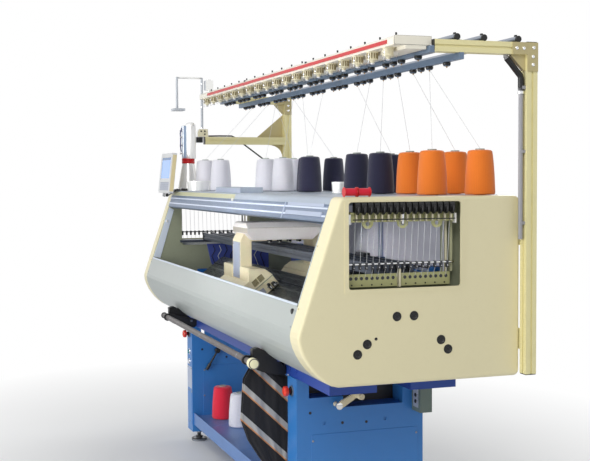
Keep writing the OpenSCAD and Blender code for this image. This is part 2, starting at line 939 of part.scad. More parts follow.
module eyelets(y, z) {
    for (i = [0:2 * yarn_unit_n - 2])
        if (i % 2 == 0 || i % 4 == 1)
            z_rod(eyelet_0 + i * yarn_unit_pitch / 2, y, z - eyelet_h, z, eyelet_r, $fn = 12);
}

module eyelet_rails() {
    color([0.42, 0.46, 0.54])
        placed() {
            bar(-x_post_out, x_post_out, beam_front - 18, beam_front, beam_z0 - 4, beam_z0 + 21);
            bar(-x_post_out, x_post_out, rail_b_y - 9, rail_b_y + 9, beam_z0 - 25, beam_z0);
            eyelets(beam_front - 9, beam_z0 - 4);
            eyelets(rail_b_y, beam_z0 - 25);
        }
}

module guide_tubes() {
    tube_r = 11.5;
    color([0.72, 0.74, 0.76])
        placed()
            for (y = [185, 296, 440]) {
                x_rod(-x_post_out + 6, x_post_out - 6, y, stand_z + tube_r, tube_r, $fn = 24);
                for (x = [-x_post_out, x_post_out - 6])
                    x_rod(x, x + 6, y, stand_z + tube_r, tube_r - 0.5, $fn = 24);
            }
}

unit_bar_y1 = beam_front;
unit_bar_y0 = beam_front - unit_bar_d;
unit_bar_z0 = beam_z0 + 9;
unit_bar_z1 = unit_bar_z0 + unit_bar_h;
unit_bar_x = 1428;

module unit_bar() {
    color([0.93, 0.91, 0.84])
        placed()
            along_x(-unit_bar_x, unit_bar_x)
                polygon([[unit_bar_y0, unit_bar_z0 + 13], [unit_bar_y0 + 48, unit_bar_z0 + 13],
                    [unit_bar_y0 + 48, unit_bar_z0], [unit_bar_y1 - 22, unit_bar_z0],
                    [unit_bar_y1 - 22, beam_z0 + 21], [unit_bar_y1, beam_z0 + 21],
                    [unit_bar_y1, unit_bar_z1], [unit_bar_y0 + 12, unit_bar_z1],
                    [unit_bar_y0, unit_bar_z1 - 10]]);
}

module unit_strip() {
    color([0.8, 0.12, 0.1])
        placed()
            along_x(eyelet_0 + 98, -eyelet_0 + 39)
                polygon([[unit_bar_y0 - 4, unit_bar_z1 - 26], [unit_bar_y0, unit_bar_z1 - 26],
                    [unit_bar_y0, unit_bar_z1 - 11], [unit_bar_y0 - 4, unit_bar_z1 - 13]]);
}

module yarn_unit(x) {
    z1 = unit_bar_z0 + 13;
    translate([x, unit_bar_y0 + 22, z1 - 42])
        rotate_extrude($fn = 18)
            polygon([[0, 0], [5, 0], [12, 10], [22, 11], [22, 15], [20, 16], [20, 37], [23, 38],
                [23, 42], [0, 42]]);
}

module yarn_units() {
    color([0.92, 0.9, 0.8])
        placed()
            for (i = [0:yarn_unit_n - 1])
                yarn_unit(eyelet_0 + i * yarn_unit_pitch);
}

module lamp_frame() {
    x = -unit_bar_x - 6.5;
    y = arm_front - 13;
    z = arm_z0 + profile;
    top = stand_z + 107;
    y1 = y - 154;
    low = z + 161;
    color([0.94, 0.94, 0.93])
        placed() {
            z_rod(x, y, z + 10, top, 6, $fn = 20);
            translate([x, y, top])
                sphere(6, $fn = 20);
            y_rod(x, y1, y, top, 6, $fn = 20);
            translate([x, y1, top])
                sphere(6, $fn = 20);
            z_rod(x, y1, low, top, 6, $fn = 20);
            x_rod(x - 12, x + 64, y1, low, 6, $fn = 20);
            along_x(x - 19, x + 19)
                polygon([[y - 34, z], [arm_front + 22, z], [arm_front + 18, z + 48], [y - 22, z + 48],
                    [y - 34, z + 30]]);
            bar(x - 14, x + 14, y - 42, y, z - 34, z);
            bar(x - 22, x + 22, y + 20, y + 66, unit_bar_z1 + 22, unit_bar_z1 + 82);
            z_rod(x + 4, y + 43, unit_bar_z1, unit_bar_z1 + 24, 8, $fn = 20);
        }
}

module conduit() {
    color([0.55, 0.56, 0.57])
        placed() {
            z_rod(x_stand, post_y - 12.5, 1234, 1846, 9, $fn = 24);
            for (z = [1290, 1560, 1800])
                bar(x_stand - 14, x_stand + 14, post_y - 14, post_y, z, z + 12);
            translate([x_stand, post_y - 12.5, 1846])
                sphere(9, $fn = 24);
            link([x_stand, post_y - 12.5, 1846], [x_stand, post_y - 78, beam_z0 - 9], 9, $fn = 24);
            z_rod(x_stand, post_y - 78, beam_z0 - 12, beam_z0, 9, $fn = 24);
        }
}

// Control panel
panel_x = -1245;
panel_w = 290;
panel_h = 232;
panel_d = 26;
panel_tilt = 6.5;
hinge_y = -318;
hinge_z = 1376;

module panel_placed() {
    translate([panel_x, hinge_y, hinge_z])
        rotate([-panel_tilt, 0, 0])
            children();
}

module control_panel() {
    w = panel_w / 2;
    color([0.86, 0.85, 0.8])
        placed()
            panel_placed() {
                difference() {
                    translate([0, panel_d / 2, 0])
                        rotate([90, 0, 0])
                            linear_extrude(height = panel_d)
                                polygon(round_rect(-w, w, 12, 12 + panel_h, 12, 4));
                    bar(24 - w, w - 24, -panel_d / 2 - 1, 3 - panel_d / 2, 92, panel_h - 10);
                    bar(30 - w, w - 30, -panel_d / 2 - 1, 2 - panel_d / 2, 26, 76);
                }
                for (x = [-38, 23])
                    difference() {
                        union() {
                            x_rod(x, x + 15, 0, 0, 11, $fn = 24);
                            bar(x, x + 15, -9, 9, 0, 14);
                        }
                        x_rod(x - 1, x + 16, 0, 0, 6.4, $fn = 24);
                    }
            }
}

module panel_bracket() {
    color([0.25, 0.26, 0.27])
        placed() {
            x_rod(panel_x - 42, panel_x + 42, hinge_y, hinge_z, 6, $fn = 24);
            along_x(panel_x - 22, panel_x + 22)
                polygon([[hinge_y - 5, hinge_z - 8], [hinge_y + 5, hinge_z - 10],
                    [-top_reach, table_z + 0.5], [-top_reach + 21, table_z],
                    [-top_reach + 21, table_z + 10], [-top_reach - 6, table_z + 10],
                    [hinge_y + 26, hinge_z + 4], [hinge_y - 5, hinge_z + 4]]);
        }
}

// Buttons
module estop(side) {
    y = -leg_front;
    y_rod(side * leg_x, y - 34, y - 20, estop_z, 20);
    y_rod(side * leg_x, y - 21, y + 20, estop_z, button_r);
}

module estop_left() {
    color([0.85, 0.22, 0.12])
        placed()
            estop(-1);
}

module estop_right() {
    color([0.85, 0.22, 0.12])
        placed()
            estop(1);
}

module push_button(z) {
    y_rod(-leg_x, -leg_front - 8, -leg_front - 4, z, 12);
    y_rod(-leg_x, -leg_front - 5, -leg_front + 18, z, button_r);
}

module button_upper() {
    color([0.78, 0.79, 0.8])
        placed()
            push_button(beam_z - 156);
}

module button_lower() {
    color([0.78, 0.79, 0.8])
        placed()
            push_button(beam_z - 212);
}

// Start bar
module start_bar() {
    color([0.72, 0.73, 0.75])
        placed() {
            x_rod(-bar_len / 2, bar_len / 2, -bar_reach, bar_z, bar_r);
            x_rod(bar_len / 2, bar_len / 2 + 34, -bar_reach, bar_z, 22);
            x_rod(-bar_len / 2 - 8, -bar_len / 2, -bar_reach, bar_z, 16);
        }
}

module start_arm() {
    y = -bar_reach;
    difference() {
        union() {
            along_x(arm_x - 6, arm_x + 6)
                polygon([[-beam_out, beam_z + 6], [-beam_out, beam_z + 40], [y + 12, bar_z + 19],
                    [y - 2, bar_z + 19], [y - 2, bar_z - 12], [y + 12, bar_z - 20]]);
            x_rod(arm_x - 6, arm_x + 6, y, bar_z, bar_r + 7);
        }
        x_rod(arm_x - 7, arm_x + 7, y, bar_z, bar_r + 0.4);
    }
}

module start_bar_brackets() {
    color([0.13, 0.13, 0.14])
        placed()
            both_ends()
                start_arm();
}

// Crank and lever
crank_y = -100;
crank_z = beam_z - 110;
lever_y = -125;
lever_z = beam_z - 149;

module hand_crank() {
    color([0.82, 0.78, 0.66])
        placed() {
            x_rod(leg_out + seat, leg_out + 50, crank_y, crank_z, 10);
            along_x(leg_out + 38, leg_out + 50)
                polygon(concat(arc(crank_y, crank_z, 14, 120, 300, 8),
                    arc(crank_y + 74, crank_z + 42, 10, -60, 120, 8)));
            x_rod(leg_out + 50, leg_out + 104, crank_y + 74, crank_z + 42, 12);
        }
}

module side_lever() {
    color([0.7, 0.7, 0.72])
        placed() {
            x_rod(seat - leg_in, 22 - leg_in, lever_y, lever_z, 14);
            translate([16 - leg_in, lever_y, lever_z])
                rotate([180 - atan2(64, 103), 0, 0]) {
                    cylinder(h = 84, r = 5, $fn = 20);
                    translate([0, 0, 84])
                        cylinder(h = 38, r1 = 6, r2 = 9, $fn = 20);
                }
        }
}

// Yarn cones and small things on the table
orange_at = [[842, 280], [1153, 230], [962, 430], [1240, 395]];
navy_at = [[-46, 150], [-297, 230], [-417, 420], [568, 150], [735, 190], [422, 380]];
white_at = [[-707, 130], [-469, 150], [-726, 300], [-1170, -94], [-960, -59]];

module cone(x, y, z) {
    translate([x, y, z])
        rotate_extrude($fn = 24)
            polygon([[0, 0], [cone_r, 0], [0.8 * cone_r, cone_h - 14], [20, cone_h - 14],
                [18, cone_h], [0, cone_h]]);
}

module cones_orange() {
    color([0.96, 0.55, 0.13])
        placed()
            for (p = orange_at)
                cone(p[0], p[1], table_z);
}

module cones_navy() {
    color([0.08, 0.09, 0.2])
        placed()
            for (p = navy_at)
                cone(p[0], p[1], table_z);
}

module cones_white() {
    color([0.9, 0.9, 0.88])
        placed() {
            for (p = white_at)
                cone(p[0], p[1], table_z);
            cone(-500, -90, tray_z);
        }
}

spool_r = 18;
spool_w = 50;

module spool(x, y) {
    z = table_z + spool_r;
    y_rod(x, y, y + 3, z, spool_r, $fn = 24);
    y_rod(x, y + 2, y + spool_w - 2, z, 0.78 * spool_r, $fn = 24);
    y_rod(x, y + spool_w - 3, y + spool_w, z, spool_r, $fn = 24);
}

module red_yarn() {
    color([0.72, 0.08, 0.14])
        placed() {
            spool(x_out - 42, -top_reach + 28);
            spool(x_out - 42, -top_reach + 31 + spool_w);
            cone(-722, -123, tray_z);
        }
}

small_tub = [36, 52];
large_tub = [69, 58];

module tub(x, y, size) {
    translate([x, y, table_z])
        rotate_extrude($fn = 36)
            polygon([[0, 0], [0.94 * size[0], 0], [size[0], size[1] - 6], [size[0], size[1]],
                [size[0] - 3, size[1]], [size[0] - 3, size[1] - 7], [0, size[1] - 7]]);
}

ware_x = -1290;
ware_y = -168;
ware_r = 66;
ware_neck = 36;
ware_foot = 190;
ware_top = 404;

module table_ware() {
    color([0.92, 0.92, 0.9])
        placed() {
            tub(406, 130, small_tub);
            tub(-1058, -163, large_tub);
            translate([ware_x, ware_y, table_z])
                rotate_extrude($fn = 24)
                    polygon([[0, 0], [ware_r, 0], [ware_neck, ware_foot - 28], [ware_neck, ware_foot],
                        [0, ware_foot]]);
            translate([ware_x + 4, ware_y + 14, table_z + ware_foot])
                rotate_extrude($fn = 24)
                    polygon(concat([[0, 0], [30, 0], [30, ware_top - ware_foot - 20]],
                        arc(10, ware_top - ware_foot - 20, 20, 0, 90, 5), [[0, ware_top - ware_foot]]));
            bar(ware_x - 16, ware_x + 16, ware_y - 34, ware_y - 10, table_z + ware_foot,
                table_z + ware_top - 18);
        }
}

module fabric_panel() {
    cloth_t = 3;
    in_w = 6 + seat;
    top = bar_z + 26;
    color([0.12, 0.12, 0.13])
        placed()
            intersection() {
                along_y(-cloth_front, -220)
                    difference() {
                        polygon([[arm_x - in_w - cloth_t, 240], [arm_x - in_w - cloth_t, top],
                            [arm_x + in_w + cloth_t, top], [arm_x + in_w + cloth_t, 240]]);
                        polygon([[arm_x - in_w, 230], [arm_x - in_w, top - cloth_t],
                            [arm_x + in_w, top - cloth_t], [arm_x + in_w, 230]]);
                    }
                along_x(arm_x - 40, arm_x + 40)
                    polygon([[-398, top + 14], [-398, 690], [-436, 640], [-cloth_front, 470], [-415, 380],
                        [-330, 250], [-250, 250], [-232, 640], [-268, 655], [-268, skirt_z - 18],
                        [-345, skirt_z + 20], [-345, top + 14]]);
            }
}

module yarn(p, q) {
    link(p, q, yarn_r, $fn = 6);
}

module yarns() {
    top_at = concat(orange_at, navy_at, white_at);
    color([0.9, 0.88, 0.85])
        placed() {
            both_ends()
                for (i = [0:unit_n - 1])
                    let (y = (i - (unit_n - 1) / 2) * unit_pitch)
                        yarn([x_out - 18, y, unit_z - 6], [x_out - 36, y, clip_z + 6]);
            for (p = top_at)
                yarn([p[0], p[1], table_z + cone_h],
                    [eyelet_0 + round((p[0] - eyelet_0) / yarn_unit_pitch) * yarn_unit_pitch,
                    rail_b_y, beam_z0 - 25 - eyelet_h]);
        }
}

legs();
base_tray();
leveling_feet();
main_beam();
end_frames();
front_needle_bed();
rear_needle_bed();
carriage_rails();
feeder_rails();
feeder_1();
feeder_2();
feeder_3();
feeder_4();
carriage_bridge();
carriage_hood();
cam_boxes();
cam_covers();
takedown_roller();
pressure_roller();
takedown_brackets();
drive_motor();
drive_pulley();
idle_pulley();
drive_belt();
end_cover_left();
end_cover_right();
front_cover();
rear_cover();
top_table();
door_tracks();
tension_plates();
tension_units();
clip_rails();
stand_posts();
stand_beams();
corner_plates();
eyelet_rails();
guide_tubes();
unit_bar();
unit_strip();
yarn_units();
lamp_frame();
conduit();
control_panel();
panel_bracket();
estop_left();
estop_right();
button_upper();
button_lower();
start_bar();
start_bar_brackets();
hand_crank();
side_lever();
cones_orange();
cones_navy();
cones_white();
red_yarn();
table_ware();
fabric_panel();
yarns();
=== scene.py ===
"""Looks of a flat knitting machine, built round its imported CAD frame."""

import json
import logging
import math
from dataclasses import dataclass
from enum import Enum
from functools import cache
from typing import Callable, Iterable, Optional, Sequence

import bmesh
import bpy
from mathutils import Matrix, Vector


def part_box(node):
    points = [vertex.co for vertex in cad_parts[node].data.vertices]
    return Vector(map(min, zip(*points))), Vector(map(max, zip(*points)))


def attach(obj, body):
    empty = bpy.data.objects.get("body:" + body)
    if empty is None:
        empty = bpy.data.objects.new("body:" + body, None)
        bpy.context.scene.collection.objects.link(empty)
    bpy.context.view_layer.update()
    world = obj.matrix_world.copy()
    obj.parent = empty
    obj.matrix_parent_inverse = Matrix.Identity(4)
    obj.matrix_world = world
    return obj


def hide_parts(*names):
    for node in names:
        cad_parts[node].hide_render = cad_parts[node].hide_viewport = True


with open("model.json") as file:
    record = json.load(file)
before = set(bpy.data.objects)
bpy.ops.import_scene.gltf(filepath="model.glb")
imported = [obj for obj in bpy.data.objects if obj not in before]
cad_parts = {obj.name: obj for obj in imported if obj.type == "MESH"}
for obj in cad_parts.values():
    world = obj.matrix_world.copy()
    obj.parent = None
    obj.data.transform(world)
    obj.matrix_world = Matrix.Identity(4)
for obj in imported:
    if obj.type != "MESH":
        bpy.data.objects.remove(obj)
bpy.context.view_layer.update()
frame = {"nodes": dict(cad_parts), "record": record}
log = logging.getLogger("knitting_machine")

MACHINE = "machine"
CARRIAGE = "carriage"
COLOUR = "NodeSocketColor"
NUMBER = "NodeSocketFloat"
MM = 0.001
Socket = bpy.types.NodeSocket
Point = Sequence[float]
Pair = tuple[float, float]
Outline = Sequence[Pair]
# The needle gap in the frame's metres, then places in millimetres.
GAP_Y = (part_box("front_needle_bed")[1][1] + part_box("rear_needle_bed")[0][1]) / 2
GAP_Z = 1011
HALF_GAP = 4
BED_ANGLE = math.radians(38)
TABLE_Z = 1400
FRONT_Y = -255
SLANT = math.atan2(163, 487)
X_OUT = 1400
RAIL_YS = (-75, -25, 25, 75)
BOTH_ENDS = (1, -1)
# The bands of the knitted cloth.
BAND_TILT = 0.95
BAND_RATE = 7.8
BAND_START = 0.65


def at(x: float, y: float, z: float) -> Vector:
    """Turns millimetres from the needle gap, at floor level, into the frame's metres.

    Args:
        x: Place along the machine.
        y: Place across it, from the needle gap to the back.
        z: Height above the floor.

    Returns:
        The point in the frame.
    """
    return Vector((x * MM, y * MM + GAP_Y, z * MM))


class Axis(Enum):
    """The axis that an outline is pulled along or turned about."""

    X = 0
    Y = 1
    Z = 2

    def lift(self, outline: Outline, where: float) -> list[Point]:
        """Gives the points of an outline that lies across the axis.

        Args:
            outline: Its corners in the other two axes.
            where: Its place on the axis.

        Returns:
            The points.
        """
        return [(*pair[:self.value], where, *pair[self.value:]) for pair in outline]


X, Y, Z = Axis


class Grain(Enum):
    """The surface detail that a finish shows."""

    PAINT = "paint"
    BRUSHED = "brushed"
    MOULDED = "moulded"
    WOUND = "wound"
    KNIT = "knit"
    PLAIN = "plain"


class Net:
    """Short ways to add nodes to a shader tree."""

    def __init__(self, tree: bpy.types.NodeTree) -> None:
        """Works on one tree.

        Args:
            tree: The tree to add to.
        """
        self.tree = tree

    def feed(self, socket: Socket, value: object) -> None:
        """Sets a socket's value, or links it.

        Args:
            socket: The socket.
            value: A number, a colour or the socket to link from.
        """
        if isinstance(value, Socket):
            self.tree.links.new(value, socket)
        else:
            socket.default_value = value

    def node(self, kind: str, values: Optional[dict[object, object]] = None) -> bpy.types.Node:
        """Adds a node.

        Args:
            kind: Its type.
            values: What its inputs take, by name or number.

        Returns:
            The node.
        """
        node = self.tree.nodes.new("ShaderNode" + kind)
        for label, value in (values or {}).items():
            self.feed(node.inputs[label], value)
        return node

    def coords(self) -> Socket:
        """Gives the object's own coordinates."""
        return self.node("TexCoord").outputs["Object"]

    def noise(self, vector: Socket, scale: object, detail: float = 4, rough: float = 0.55) -> Socket:
        """Adds a noise texture.

        Args:
            vector: Its coordinates.
            scale: Its scale, as a number or a socket.
            detail: Octaves of noise.
            rough: Strength of the finer octaves.

        Returns:
            The noise value.
        """
        values = {"Vector": vector, "Scale": scale, "Detail": detail, "Roughness": rough}
        return self.node("TexNoise", values).outputs[0]

    def math(self, kind: str, a: object, b: object = 0) -> Socket:
        """Adds a math node.

        Args:
            kind: The operation's name.
            a: First value or socket.
            b: Second value or socket.

        Returns:
            The result.
        """
        node = self.node("Math")
        node.operation = kind
        self.feed(node.inputs[0], a)
        self.feed(node.inputs[1], b)
        return node.outputs[0]

    def squeeze(self, vector: Socket, share: float) -> Socket:
        """Shortens the X of coordinates.

        Args:
            vector: The coordinates.
            share: What their X is multiplied by.

        Returns:
            The new ones.
        """
        node = self.node("VectorMath")
        node.operation = "MULTIPLY"
        self.feed(node.inputs[0], vector)
        self.feed(node.inputs[1], (share, 1, 1))
        return node.outputs[0]

    def spread(self, value: Socket, low: float, high: float, to_low: float = 0,
               to_high: float = 1) -> Socket:
        """Maps a value's range onto another, clamped.

        Args:
            value: The value.
            low: Value that gives to_low.
            high: Value that gives to_high.
            to_low: Result at low.
            to_high: Result at high.

        Returns:
            The result.
        """
        values = {"Value": value, "From Min": low, "From Max": high, "To Min": to_low, "To Max": to_high}
        return self.node("MapRange", values).outputs["Result"]

    def mix(self, factor: object, a: object, b: object) -> Socket:
        """Mixes two colours.

        Args:
            factor: Socket or number from 0 to 1.
            a: Colour or socket at 0.
            b: Colour or socket at 1.

        Returns:
            The colour.
        """
        node = self.node("Mix")
        node.data_type = "RGBA"
        for number, value in ((0, factor), (6, a), (7, b)):
            self.feed(node.inputs[number], value)
        return node.outputs[2]


class Group(Net):
    """A shader node group that more than one finish uses."""

    def __init__(self, name: str, **inputs: object) -> None:
        """Makes an empty group with its inputs.

        Args:
            name: The group's name.
            inputs: Colour or number that each input has by itself.
        """
        super().__init__(bpy.data.node_groups.new(name, "ShaderNodeTree"))
        for label, value in inputs.items():
            kind = COLOUR if isinstance(value, tuple) else NUMBER
            self.tree.interface.new_socket(label, in_out="INPUT", socket_type=kind).default_value = value
        self.given = self.tree.nodes.new("NodeGroupInput").outputs

    def finish(self, **results: Socket) -> bpy.types.NodeTree:
        """Gives the group its outputs.

        Args:
            results: What each output takes.

        Returns:
            The group's tree.
        """
        for label in results:
            kind = COLOUR if label == "Colour" else NUMBER
            self.tree.interface.new_socket(label, in_out="OUTPUT", socket_type=kind)
        out = self.tree.nodes.new("NodeGroupOutput")
        for label, socket in results.items():
            self.tree.links.new(socket, out.inputs[label])
        return self.tree


@cache
def ageing() -> bpy.types.NodeTree:
    """Makes paint or plastic that carries dust, handling marks and a fine skin.

    Returns:
        The group.
    """
    net = Group("ageing", Colour=(0.8, 0.8, 0.8, 1), Dirt=(0.3, 0.27, 0.2, 1), Amount=0.2, Roughness=0.4,
                Skin=700)
    given, place = net.given, net.coords()
    broad = net.spread(net.noise(place, 3.2, 6, 0.62), 0.42, 0.78)
    fine = net.spread(net.noise(place, 46, 3, 0.7), 0.5, 0.82)
    facing = net.node("SeparateXYZ", {0: net.node("NewGeometry").outputs["Normal"]})
    upward = net.spread(facing.outputs["Z"], 0.55, 1, 0.35, 1)
    marks = net.math("ADD", net.math("MULTIPLY", broad, upward), net.math("MULTIPLY", fine, 0.35))
    amount = net.math("MINIMUM", net.math("MULTIPLY", marks, given["Amount"]), 1)
    rough = net.math("ADD", given["Roughness"], net.math("MULTIPLY", amount, 0.5))
    return net.finish(Colour=net.mix(amount, given["Colour"], given["Dirt"]), Roughness=rough,
                      Height=net.noise(place, given["Skin"], 2, 0.5))


@cache
def brushing() -> bpy.types.NodeTree:
    """Makes metal with fine lines along the machine, and a few darker stains.

    Returns:
        The group.
    """
    net = Group("brushing", Colour=(0.6, 0.6, 0.6, 1), Stain=(0.3, 0.28, 0.24, 1), Amount=0.2,
                Roughness=0.35,
                Lines=900)
    given, place = net.given, net.coords()
    lines = net.noise(net.squeeze(place, 0.02), given["Lines"], 2, 0.6)
    stain = net.spread(net.noise(place, 9, 5, 0.6), 0.5, 0.8)
    toned = net.mix(net.math("MULTIPLY", stain, given["Amount"]), given["Colour"], given["Stain"])
    shade = net.mix(net.spread(lines, 0.3, 0.7, 0, 0.16), toned, (0.05, 0.05, 0.05, 1))
    rough = net.math("ADD", given["Roughness"], net.spread(lines, 0.3, 0.7, -0.05, 0.1))
    return net.finish(Colour=shade, Roughness=rough, Height=lines)


@cache
def winding() -> bpy.types.NodeTree:
    """Makes yarn wound crosswise, in the coordinates that each winding stores from its own foot, with
    painted shade in the grooves between strands.

    Returns:
        The group.
    """
    net = Group("winding", Colour=(0.8, 0.4, 0.1, 1), Shade=(0.3, 0.1, 0.03, 1), Pitch=2300, Cross=26)
    given = net.given
    stored = net.node("Attribute")
    stored.attribute_name = "local"
    place = stored.outputs["Vector"]
    spot = net.node("SeparateXYZ", {0: place}).outputs
    turn = net.math("MULTIPLY", net.math("ARCTAN2", spot["Y"], spot["X"]), given["Cross"])
    rise = net.math("MULTIPLY", spot["Z"], given["Pitch"])
    one = net.math("SINE", net.math("ADD", rise, turn))
    two = net.math("SINE", net.math("SUBTRACT", rise, turn))
    height = net.math("ADD", net.math("MAXIMUM", one, two), net.noise(place, 420, 3, 0.6))
    # Painted shade: the low grooves between crossing strands are darkened towards the Shade colour.
    dark = net.spread(height, 0.1, 1.35, 0.75, 0)
    return net.finish(Colour=net.mix(dark, given["Colour"], given["Shade"]), Height=height)


@cache
def knitting() -> bpy.types.NodeTree:
    """Makes knitted cloth in slanting bands, with rows of small stitches whose dips are darkened as painted
    shade.

    Returns:
        The group.
    """
    net = Group("knitting", Ground=(0.02, 0.02, 0.022, 1), Band=(0.5, 0.5, 0.5, 1),
                Accent=(0.7, 0.3, 0.12, 1))
    given = net.given
    spot = net.node("SeparateXYZ", {0: net.coords()}).outputs
    slope = net.math("ADD", spot["Z"], net.math("MULTIPLY", spot["Y"], BAND_TILT))
    wave = net.math("FRACT", net.math("ADD", net.math("MULTIPLY", slope, BAND_RATE), BAND_START))
    bands = net.math("GREATER_THAN", wave, 0.72)
    accents = net.math("MULTIPLY", bands, net.math("LESS_THAN", wave, 0.775))
    toned = net.mix(accents, net.mix(bands, given["Ground"], given["Band"]), given["Accent"])
    rows = net.math("SINE", net.math("MULTIPLY", spot["Z"], 2100))
    ribs = net.math("SINE", net.math("MULTIPLY", spot["Y"], 1700))
    stitch = net.math("MULTIPLY", rows, ribs)
    # Painted shade: the low dips between stitches are darkened towards black.
    colour = net.mix(net.spread(stitch, -1, 1, 0.35, 0), toned, (0.004, 0.004, 0.004, 1))
    return net.finish(Colour=colour, Height=stitch)


def linear(colour: Point) -> tuple[float, float, float, float]:
    """Turns a screen colour from 0 to 1 into the shader's linear colour."""
    return tuple(c / 12.92 if c <= 0.04045 else ((c + 0.055) / 1.055) ** 2.4 for c in colour) + (1,)


@dataclass(frozen=True)
class Finish:
    """One material of the machine.

    Attributes:
        name: The finish in plain words.
        colour: Its screen colour.
        grain: The surface detail.
        roughness: How matt it is.
        metallic: 1 for bare metal.
        dirt: Colour of its dust or stains; for wound yarn, the painted shade in the grooves between strands.
        age: How much of that shows.
        bump: Strength of its relief.
        skin: How fine the relief is.
        coat: Clear coat over paint.
        glow: Strength of its own light, for a screen.
    """

    name: str
    colour: Point
    grain: Grain = Grain.PAINT
    roughness: float = 0.4
    metallic: float = 0
    dirt: Point = (0.42, 0.39, 0.33)
    age: float = 0.14
    bump: float = 0.05
    skin: float = 700
    coat: float = 0
    glow: float = 0

    def material(self) -> bpy.types.Material:
        """Builds the finish's material, the first time.

        Returns:
            The material.
        """
        known = bpy.data.materials.get(self.name)
        if known is not None:
            return known
        material = bpy.data.materials.new(self.name)
        material.use_nodes = True
        net = Net(material.node_tree)
        group = net.node("Group")
        colour, dirt = linear(self.colour), linear(self.dirt)
        values = {"Colour": colour, "Amount": self.age, "Roughness": self.roughness}
        if self.grain in (Grain.PAINT, Grain.MOULDED, Grain.PLAIN):
            group.node_tree = ageing()
            values.update({"Dirt": dirt, "Skin": self.skin})
        elif self.grain is Grain.BRUSHED:
            group.node_tree = brushing()
            values["Stain"] = dirt
        elif self.grain is Grain.WOUND:
            group.node_tree = winding()
            values = {"Colour": colour, "Shade": dirt}
        else:
            group.node_tree = knitting()
            values = {"Ground": colour}
        for label, value in values.items():
            group.inputs[label].default_value = value
        made = group.outputs
        relief = net.node("Bump", {"Strength": self.bump, "Distance": 0.0006, "Height": made["Height"]})
        looks = {"Base Color": made["Colour"], "Metallic": self.metallic, "Coat Weight": self.coat,
                 "Coat Roughness": 0.15, "Normal": relief.outputs["Normal"]}
        if "Roughness" in made:
            looks["Roughness"] = made["Roughness"]
        else:
            looks.update({"Roughness": self.roughness, "Sheen Weight": 0.25})
        if self.glow > 0:
            looks.update({"Emission Strength": self.glow, "Emission Color": made["Colour"]})
        for label, value in looks.items():
            net.feed(net.tree.nodes["Principled BSDF"].inputs[label], value)
        material.diffuse_color = (*self.colour, 1)
        return material


CREAM = Finish("cream_cover_paint", (0.9, 0.865, 0.715), roughness=0.38, coat=0.15, age=0.1,
               dirt=(0.62, 0.56, 0.4))
BODY_CREAM = Finish("cream_carriage_paint", (0.93, 0.89, 0.755), roughness=0.36, age=0.16,
                    dirt=(0.55, 0.48, 0.34))
HOOD_WHITE = Finish("warm_white_hood_paint", (0.965, 0.95, 0.94), roughness=0.36, age=0.08)
SILVER = Finish("silver_grey_moulding", (0.66, 0.685, 0.675), Grain.MOULDED, 0.38, age=0.12, skin=1100,
                bump=0.12, coat=0.2, dirt=(0.5, 0.5, 0.5))
TABLE_GREY = Finish("blue_grey_table_paint", (0.63, 0.675, 0.73), roughness=0.35, age=0.2)
TRACK_BLUE = Finish("blue_grey_track", (0.49, 0.55, 0.65), Grain.BRUSHED, 0.36, 0.35, age=0.12)
LIGHT_LINE = Finish("pale_track_line", (0.83, 0.87, 0.94), Grain.PLAIN, 0.35, age=0.06)
LEG_BLUE = Finish("blue_leg_paint", (0.19, 0.47, 0.75), roughness=0.36, coat=0.2, age=0.12,
                  dirt=(0.2, 0.24, 0.28))
BEAM_BLUE = Finish("deep_blue_casting_paint", (0.12, 0.26, 0.6), roughness=0.38, age=0.22, bump=0.2,
                   skin=320, dirt=(0.12, 0.14, 0.16))
OLIVE = Finish("olive_grey_inner_paint", (0.6, 0.62, 0.53), roughness=0.42, age=0.3, dirt=(0.25, 0.27, 0.22))
REAR_CREAM = Finish("rear_panel_paint", (0.86, 0.84, 0.77), roughness=0.42, age=0.18)
BED_STEEL = Finish("ground_bed_steel", (0.56, 0.58, 0.62), Grain.BRUSHED, 0.3, 1, age=0.3,
                   dirt=(0.2, 0.2, 0.2), bump=0.1)
RAIL_STEEL = Finish("guide_rail_steel", (0.66, 0.68, 0.7), Grain.BRUSHED, 0.26, 1, age=0.2)
DARK_RAIL = Finish("dark_feeder_rail", (0.37, 0.4, 0.46), Grain.BRUSHED, 0.34, 0.8, age=0.3,
                   dirt=(0.12, 0.12, 0.13))
WHITE_MOULD = Finish("white_feeder_moulding", (0.86, 0.87, 0.89), Grain.MOULDED, 0.42, age=0.16)
DARK_MOULD = Finish("dark_feeder_moulding", (0.23, 0.24, 0.27), Grain.MOULDED, 0.45, age=0.2)
BLACK = Finish("black_moulding", (0.055, 0.055, 0.06), Grain.MOULDED, 0.38, age=0.12, dirt=(0.3, 0.3, 0.3))
BLACK_STEEL = Finish("black_bracket_paint", (0.09, 0.09, 0.1), age=0.16, dirt=(0.3, 0.3, 0.3))
RUBBER = Finish("roller_rubber", (0.13, 0.13, 0.14), Grain.MOULDED, 0.7, age=0.3, bump=0.3, skin=1500,
                dirt=(0.35, 0.34, 0.32))
BELT = Finish("belt_rubber", (0.07, 0.07, 0.075), Grain.MOULDED, 0.65, age=0.2, bump=0.2)
PLATE_STEEL = Finish("zinc_bracket_plate", (0.6, 0.62, 0.65), Grain.BRUSHED, 0.4, 0.9, age=0.25)
MOTOR_GREY = Finish("grey_green_motor_paint", (0.4, 0.46, 0.43), roughness=0.45, age=0.25)
PULLEY = Finish("turned_pulley", (0.7, 0.71, 0.73), Grain.BRUSHED, 0.3, 1, age=0.15)
TENSION_GREEN = Finish("pale_green_plate_paint", (0.73, 0.73, 0.52), roughness=0.42, age=0.24)
CHROME = Finish("bright_chrome", (0.86, 0.87, 0.89), Grain.BRUSHED, 0.12, 1, age=0.06, bump=0.02)
